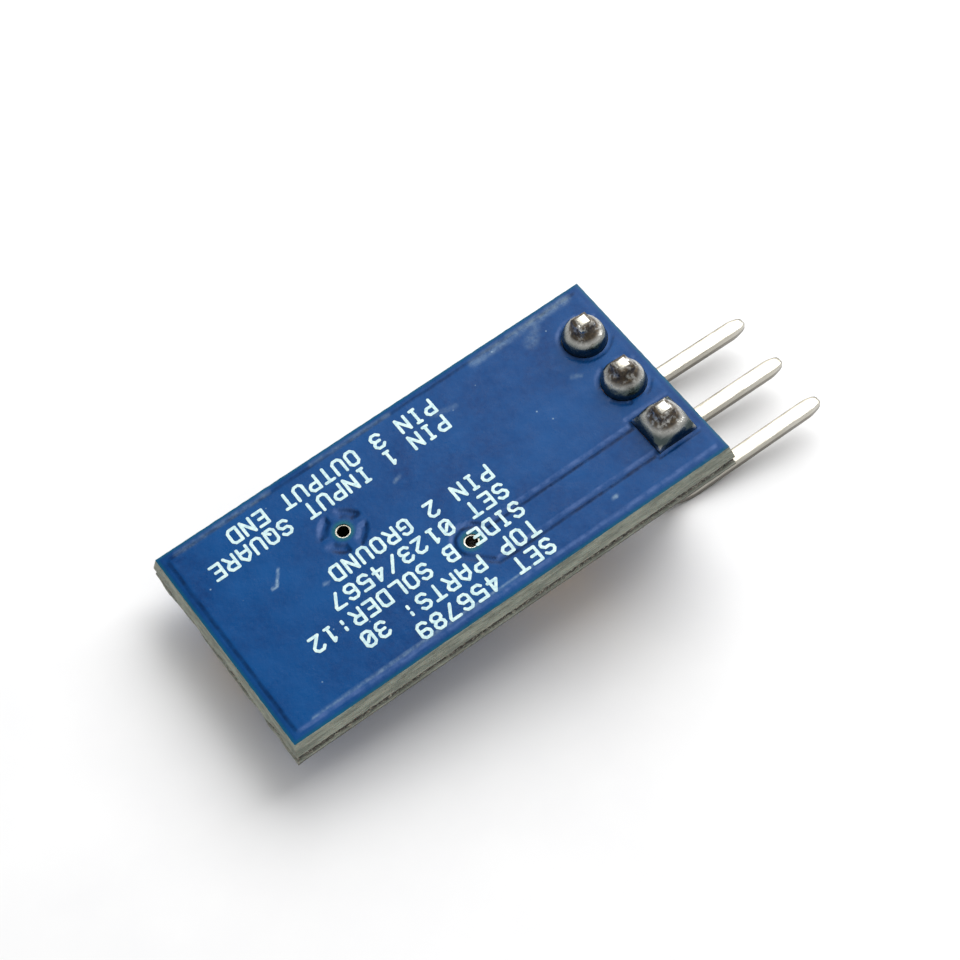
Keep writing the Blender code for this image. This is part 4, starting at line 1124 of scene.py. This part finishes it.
def mound(bm, centre, reach_x, reach_y, height, seed, peak=None):
    """A pillow of solder over a rectangle, highest at its peak, closed below."""
    made = bmesh.ops.create_grid(bm, x_segments=10, y_segments=10, size=0.5)["verts"]
    peak_x, peak_y = peak or (0.0, 0.0)
    for vert in made:
        u, v = 2.0 * vert.co.x, 2.0 * vert.co.y
        dome = max(0.0, 1.0 - abs(u) ** 3.0) ** 0.5 * max(0.0, 1.0 - abs(v) ** 3.0) ** 0.5
        lean = 1.0 + 0.6 * (u * peak_x + v * peak_y)
        x, y = centre.x + u * reach_x, centre.y + v * reach_y
        z = centre.z + height * dome * lean * (1.0 + 0.12 * ripple(x, y, scale=3.0, seed=seed))
        vert.co = (x, y, z)
    rim = [f for v in made for f in v.link_faces]
    for vert in made_verts(bmesh.ops.extrude_face_region(bm, geom=list(set(rim)))):
        vert.co.z = centre.z - 0.04 * MM


# Height of the pads under the small solder, from the mask's face
PAD_LEVEL = -0.03 * MM


def build_small_solder():
    """Solder under every lead and terminal of the hidden side, and on the open jumpers."""
    bm = bmesh.new()
    bm.verts.layers.float.new("flux")
    for number in range(1, 9):
        centre, size = node_box("chip_lead_%d" % number, COMPONENT_SIDE)
        way = math.copysign(1.0, centre.x - CHIP_CENTRE.x)
        tip = centre.x + way * size.x / 2
        foot = Vector((tip - way * 0.3 * MM, centre.y, PAD_LEVEL))
        mound(bm, foot, 0.54 * MM, 0.29 * MM, 0.16 * MM, number)
    for name in CAPACITORS:
        middle = node_box(name + "_case", COMPONENT_SIDE)[0]
        for pole in ("anode", "cathode"):
            centre, size = node_box("%s_%s" % (name, pole), COMPONENT_SIDE)
            out = (centre - middle).xy.normalized()
            foot = Vector((*(centre.xy + out * 0.12 * MM), PAD_LEVEL))
            reach = ((0.42 * MM, size.y / 2) if abs(out.x) > 0.5
                     else (size.x / 2, 0.42 * MM))
            mound(bm, foot, *reach, 0.3 * MM, len(name), (out.x, out.y))
    for index, (x, y) in enumerate(JUMPER_WINDOWS):
        mound(bm, Vector((x * MM, y * MM, -0.045 * MM)), 0.26 * MM, 0.33 * MM, 0.06 * MM, index)
    finish_piece("small_solder", bm, "solder", COMPONENT_SIDE, sharp=70.0)


# ---------------------------------------------------------------- settings

def length_property(name, description, millimetres, **limits):
    """A length that a user may change, with its first value in millimetres."""
    return FloatProperty(name=name, description=description, default=millimetres * MM,
                         unit="LENGTH", precision=6, **limits)


def colour_property(name, description, value):
    """A colour that a user may change."""
    return FloatVectorProperty(name=name, description=description, default=value,
                               subtype="COLOR", size=3, min=0.0, max=1.0)


class INVERTER_PG_board(bpy.types.PropertyGroup):
    """Sizes of the board, its mask and its rim."""
    cell: length_property("Relief Cell", "Grid size of the mask sheets", 0.075, min=0.04 * MM)
    sink: length_property("Relief Depth", "How far the mask sinks off the copper", 0.045)
    slope: length_property("Relief Slope", "Width of the mask's slope at copper", 0.24)
    skin: length_property("Mask Depth", "From the face to the bare laminate", 0.09)
    web: length_property("Web Thickness", "Thickness of the torn web at the rim", 0.3)
    web_middle: length_property("Web Depth", "From the face to the torn web", 0.95)
    overhang: length_property("Web Overhang", "How far the web stands out", 0.15)
    rim_step: length_property("Rim Step", "Spacing of the rim's points", 0.09)
    rim_rows: IntProperty(name="Rim Rows", description="Rows of points down the rim",
                          default=26, min=8)
    fibres: IntProperty(name="Fibres", description="Broken fibres that stand out of the rim",
                        default=260, min=0)


class INVERTER_PG_ink(bpy.types.PropertyGroup):
    """Sizes of the printed lettering."""
    stroke: length_property("Stroke", "Width of a printed stroke", 0.125)
    height: length_property("Letter Height", "Height of a letter", 0.76)
    width: length_property("Letter Width", "Width of a letter", 0.51)
    rise: length_property("Ink Rise", "Height of the ink over the mask", 0.012)


class INVERTER_PG_pins(bpy.types.PropertyGroup):
    """Sizes of the header's pins, strip and solder."""
    size: length_property("Pin Size", "Side of the square pins", 0.6)
    bend: length_property("Bend Radius", "Centre-line radius of the bend", 1.3)
    tip: length_property("Tip Length", "Length of the drawn tip", 0.7)
    bend_steps: IntProperty(name="Bend Steps", description="Sections round the bend",
                            default=16, min=4)
    pinch: length_property("Strip Pinch", "Chamfer between the strip's cells", 0.35)
    height: length_property("Solder Height", "Height of the solder on the tail", 1.25)


class INVERTER_PG_looks(bpy.types.PropertyGroup):
    """Colours of the finishes."""
    mask_deep: colour_property("Mask Deep", "Darker tone of the mask", (0.0004, 0.035, 0.152))
    mask_light: colour_property("Mask Light", "Lighter tone of the mask", (0.002, 0.073, 0.255))
    mask_slope: colour_property("Mask Off Copper", "Tone where the mask sinks",
                                (0.004, 0.042, 0.165))
    # Painted highlight and painted shade of the relief slopes
    mask_thin: colour_property("Slope Highlight", "Painted highlight on relief slopes facing -Y",
                               (0.075, 0.145, 0.35))
    mask_thick: colour_property("Slope Shade", "Mask pooled beside an edge of the copper",
                                (0.0, 0.018, 0.075))
    mask_tented: colour_property("Mask Over Via", "Tone round the vias", (0.006, 0.11, 0.15))
    mask_scuff: colour_property("Scuff", "Scuffed mask and dust", (0.45, 0.62, 0.72))
    ink: colour_property("Ink", "Printed lettering", (0.74, 0.92, 0.88))
    ink_thin: colour_property("Thin Ink", "Ink where the blue shows through",
                              (0.22, 0.48, 0.62))
    resin: colour_property("Resin", "Resin of the laminate", (0.22, 0.26, 0.21))
    resin_dark: colour_property("Resin Streaks", "Dark streaks in the cut",
                                (0.075, 0.09, 0.075))
    cloth: colour_property("Cloth", "Glass cloth of the laminate", (0.40, 0.43, 0.35))
    fibre: colour_property("Fibre", "Pale broken fibres", (0.48, 0.46, 0.38))
    # Painted shade of the torn web, its pits and the lower rim
    torn_shade: colour_property("Torn Web", "Painted shade in the torn web, its pits and the rim below it", (0.04, 0.035, 0.028))
    solder: colour_property("Solder", "Bright solder", (0.78, 0.78, 0.74))
    solder_dark: colour_property("Solder Dark", "Dull solder", (0.5, 0.5, 0.47))
    # Painted dark reflection on the foot of the solder joints
    solder_painted_reflection: colour_property("Solder Rim", "Painted dark reflection on the foot of a solder joint",
                                (0.10, 0.13, 0.13))
    flux: colour_property("Flux", "Brown flux", (0.10, 0.07, 0.035))
    flux_dark: colour_property("Flux Dark", "Burnt flux", (0.018, 0.012, 0.008))
    tin: colour_property("Tin", "Tin plate", (0.54, 0.52, 0.46))
    tin_warm: colour_property("Tarnished Tin", "Warm tarnish", (0.36, 0.32, 0.23))
    # Painted shade of the pins and the hole walls
    tin_painted_shade: colour_property("Burr", "Dark line along a pin's edges", (0.12, 0.105, 0.08))
    copper: colour_property("Copper", "Etched copper", (0.78, 0.4, 0.24))
    copper_dark: colour_property("Dull Copper", "Oxidised copper", (0.42, 0.2, 0.12))
    case: colour_property("Capacitor", "Capacitor case", (0.72, 0.42, 0.05))
    case_dark: colour_property("Capacitor Dark", "Darker capacitor case", (0.55, 0.3, 0.03))
    case_band: colour_property("Capacitor Band", "Positive end's band", (0.16, 0.05, 0.02))


class INVERTER_PG_stage(bpy.types.PropertyGroup):
    """The floor, the lights and the camera."""
    azimuth: FloatProperty(name="Azimuth", description="Camera's way round the module",
                           default=math.radians(-26.24), subtype="ANGLE")
    elevation: FloatProperty(name="Elevation", description="Camera's height over the horizon",
                             default=math.radians(59.43), subtype="ANGLE")
    roll: FloatProperty(name="Roll", description="Camera's turn about its own line of sight",
                        default=math.radians(-10.88), subtype="ANGLE")
    distance: length_property("Distance", "From the camera to what it looks at", 94.98)
    lens: FloatProperty(name="Lens", description="Focal length in millimetres", default=93.51)
    floor: length_property("Floor", "Half the side of the floor", 60.0)
    key: FloatProperty(name="Key Light", description="Power of the large soft light in watts",
                       default=0.37)
    key_size: length_property("Key Size", "Side of the large soft light", 180.0)
    fill: FloatProperty(name="Fill", description="Brightness of the surroundings", default=0.52)


SETTINGS = {
    "inverter_board": INVERTER_PG_board, "inverter_ink": INVERTER_PG_ink,
    "inverter_pins": INVERTER_PG_pins, "inverter_looks": INVERTER_PG_looks,
    "inverter_stage": INVERTER_PG_stage,
}

# ---------------------------------------------------------------- operators


def need_finishes():
    """Stops an operator that would build an unpainted piece."""
    if not FINISHES:
        raise RuntimeError("run the finishes operator first")


class INVERTER_OT_finishes(bpy.types.Operator):
    """Make every material and paint the CAD nodes that stay"""
    bl_idname = "inverter.finishes"
    bl_label = "Finishes"

    def execute(self, context):
        FINISHES.update(make_finishes(context.scene.inverter_looks))
        for name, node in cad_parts.items():
            slot = node.data.materials[0].name.split(".")[0]
            if slot not in FINISHES:
                raise RuntimeError("no finish for the slot of node " + name)
            node.material_slots[0].material = FINISHES[slot]
        return {"FINISHED"}


class INVERTER_OT_board(bpy.types.Operator):
    """Build the fibreglass board with its torn rim"""
    bl_idname = "inverter.board"
    bl_label = "Board"

    def execute(self, context):
        need_finishes()
        build_board(context.scene.inverter_board)
        build_fibres(context.scene.inverter_board)
        return {"FINISHED"}


class INVERTER_OT_masks(bpy.types.Operator):
    """Build the blue masks of both sides over the relief of their copper"""
    bl_idname = "inverter.masks"
    bl_label = "Masks"

    def execute(self, context):
        need_finishes()
        for side_name in ("solder", "component"):
            build_mask(side_name, context.scene.inverter_board)
        return {"FINISHED"}


class INVERTER_OT_print(bpy.types.Operator):
    """Print the lettering of both sides"""
    bl_idname = "inverter.print"
    bl_label = "Print"

    def execute(self, context):
        need_finishes()
        for side_name in ("solder", "component"):
            build_print(side_name, context.scene.inverter_board, context.scene.inverter_ink)
        return {"FINISHED"}


class INVERTER_OT_joints(bpy.types.Operator):
    """Build the three solder joints of the header"""
    bl_idname = "inverter.joints"
    bl_label = "Solder Joints"

    def execute(self, context):
        need_finishes()
        for role in ROLES:
            build_joint(role, context.scene.inverter_pins)
        return {"FINISHED"}


class INVERTER_OT_header(bpy.types.Operator):
    """Build the header's three bent pins and its moulded strip"""
    bl_idname = "inverter.header"
    bl_label = "Header"

    def execute(self, context):
        need_finishes()
        for role in ROLES:
            build_pin(role, context.scene.inverter_pins)
        build_header(context.scene.inverter_pins)
        return {"FINISHED"}


class INVERTER_OT_hidden_parts(bpy.types.Operator):
    """Build the chip, the capacitors and their solder on the component side"""
    bl_idname = "inverter.hidden_parts"
    bl_label = "Chip and Capacitors"

    def execute(self, context):
        need_finishes()
        build_chip()
        for name in CAPACITORS:
            build_capacitor(name)
        build_small_solder()
        return {"FINISHED"}


def resting_tilt(pins):
    """Slope of the floor and its lowest contact, where bends and capacitor both touch it."""
    low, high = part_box("header_pin_ground")
    radius = pins.bend + pins.size / 2
    hole_x = MIDDLE.x + HOLES["ground"][0].x
    centre = Vector((hole_x + pins.bend, low.z + radius))
    case_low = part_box("pump_capacitor_case")[0]
    corner = Vector((case_low.x, case_low.z))
    line = centre - corner
    tilt = math.asin(radius / line.length) - math.atan2(line.y, line.x)
    contact = centre - Vector((math.sin(tilt), math.cos(tilt))) * radius
    return tilt, Vector((contact.x, MIDDLE.y, contact.y))


class INVERTER_OT_stage(bpy.types.Operator):
    """Set the floor, the soft lights and the camera"""
    bl_idname = "inverter.stage"
    bl_label = "Stage"

    def execute(self, context):
        stage = context.scene.inverter_stage
        self.lay_floor(stage, context.scene.inverter_pins)
        self.hang_lights(stage)
        self.set_camera(stage)
        return {"FINISHED"}

    def lay_floor(self, stage, pins):
        """A pale board that slopes as the table does under the leaning module."""
        tilt, contact = resting_tilt(pins)
        bm = bmesh.new()
        bmesh.ops.create_grid(bm, x_segments=8, y_segments=8, size=1.0)
        bmesh.ops.scale(bm, vec=(stage.floor, stage.floor, 1.0), verts=bm.verts)
        place = Matrix.Translation(contact) @ Matrix.Rotation(tilt, 4, "Y")
        bmesh.ops.transform(bm, matrix=place, verts=bm.verts)
        mesh = bpy.data.meshes.new("pale_floor")
        bm.to_mesh(mesh)
        bm.free()
        finish, tree = new_finish("pale_floor", Specular_IOR_Level=0.3)
        tone = spread(tree, grain(tree, 4.0 * MM, 3.0), 0.3, 0.7)
        pale = blend(tree, tone, (0.86, 0.86, 0.865), (0.89, 0.89, 0.89))
        mesh.materials.append(dress(finish, pale, 0.6))
        floor = bpy.data.objects.new("pale_floor", mesh)
        bpy.context.scene.collection.objects.link(floor)
        floor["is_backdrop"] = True

    def hang_lights(self, stage):
        """A large soft light up to the right behind the module, and even surroundings."""
        world = bpy.data.worlds.new("soft_studio")
        world.use_nodes = True
        background = world.node_tree.nodes["Background"]
        background.inputs["Color"].default_value = (1.0, 1.0, 1.0, 1.0)
        background.inputs["Strength"].default_value = stage.fill
        bpy.context.scene.world = world
        light = bpy.data.lights.new("key", "AREA")
        light.shape = "SQUARE"
        light.size = stage.key_size
        light.energy = stage.key
        lamp = bpy.data.objects.new("key", light)
        lamp.location = Vector((112.0, 62.0, 118.0)) * MM
        lamp.rotation_mode = "QUATERNION"
        lamp.rotation_quaternion = (-lamp.location).to_track_quat("-Z", "Y")
        bpy.context.scene.collection.objects.link(lamp)

    def set_camera(self, stage):
        """The camera looks down on the solder side from beyond a corner."""
        camera = bpy.data.cameras.new("camera")
        camera.lens = stage.lens
        camera.sensor_width = 36.0
        camera.clip_start = 5.0 * MM
        camera.clip_end = 2.0
        view = bpy.data.objects.new("camera", camera)
        target = SOLDER_SIDE @ Vector((1.707 * MM, -0.095 * MM, 0.0))
        flat = math.cos(stage.elevation)
        back = Vector((math.sin(stage.azimuth) * flat, -math.cos(stage.azimuth) * flat,
                       math.sin(stage.elevation)))
        view.location = target + back * stage.distance
        facing = back.to_track_quat("Z", "Y").to_matrix()
        turn = Matrix.Rotation(stage.roll, 3, back)
        view.rotation_mode = "QUATERNION"
        view.rotation_quaternion = (turn @ facing).to_quaternion()
        bpy.context.scene.collection.objects.link(view)
        bpy.context.scene.camera = view
        bpy.context.scene.view_settings.view_transform = "Standard"


class INVERTER_PT_panel(bpy.types.Panel):
    """Lists the operators in the order they run"""
    bl_idname = "INVERTER_PT_panel"
    bl_label = "Voltage Inverter Module"
    bl_space_type = "VIEW_3D"
    bl_region_type = "UI"
    bl_category = "Inverter"

    def draw(self, context):
        for operator in OPERATORS:
            self.layout.operator(operator.bl_idname)
        for name, group in SETTINGS.items():
            box = self.layout.box()
            for field in group.__annotations__:
                box.prop(getattr(context.scene, name), field)


OPERATORS = (INVERTER_OT_finishes, INVERTER_OT_board, INVERTER_OT_masks, INVERTER_OT_print,
             INVERTER_OT_joints, INVERTER_OT_header, INVERTER_OT_hidden_parts,
             INVERTER_OT_stage)
CLASSES = (*SETTINGS.values(), *OPERATORS, INVERTER_PT_panel)


def register():
    """Adds the classes and the scene's settings."""
    for group in CLASSES:
        bpy.utils.register_class(group)
    for name, group in SETTINGS.items():
        setattr(bpy.types.Scene, name, PointerProperty(type=group))


def unregister():
    """Takes the settings and the classes away again."""
    for name in SETTINGS:
        delattr(bpy.types.Scene, name)
    for group in reversed(CLASSES):
        bpy.utils.unregister_class(group)


def main():
    """Builds everything in order and works out how large it is."""
    register()
    for operator in OPERATORS:
        package, action = operator.bl_idname.split(".")
        getattr(getattr(bpy.ops, package), action)()
    boxes = {"cad": CAD_BOX, "visual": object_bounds()}
    sizes = {name: [list(corner) for corner in box] for name, box in boxes.items()}


if __name__ == "__main__":
    main()
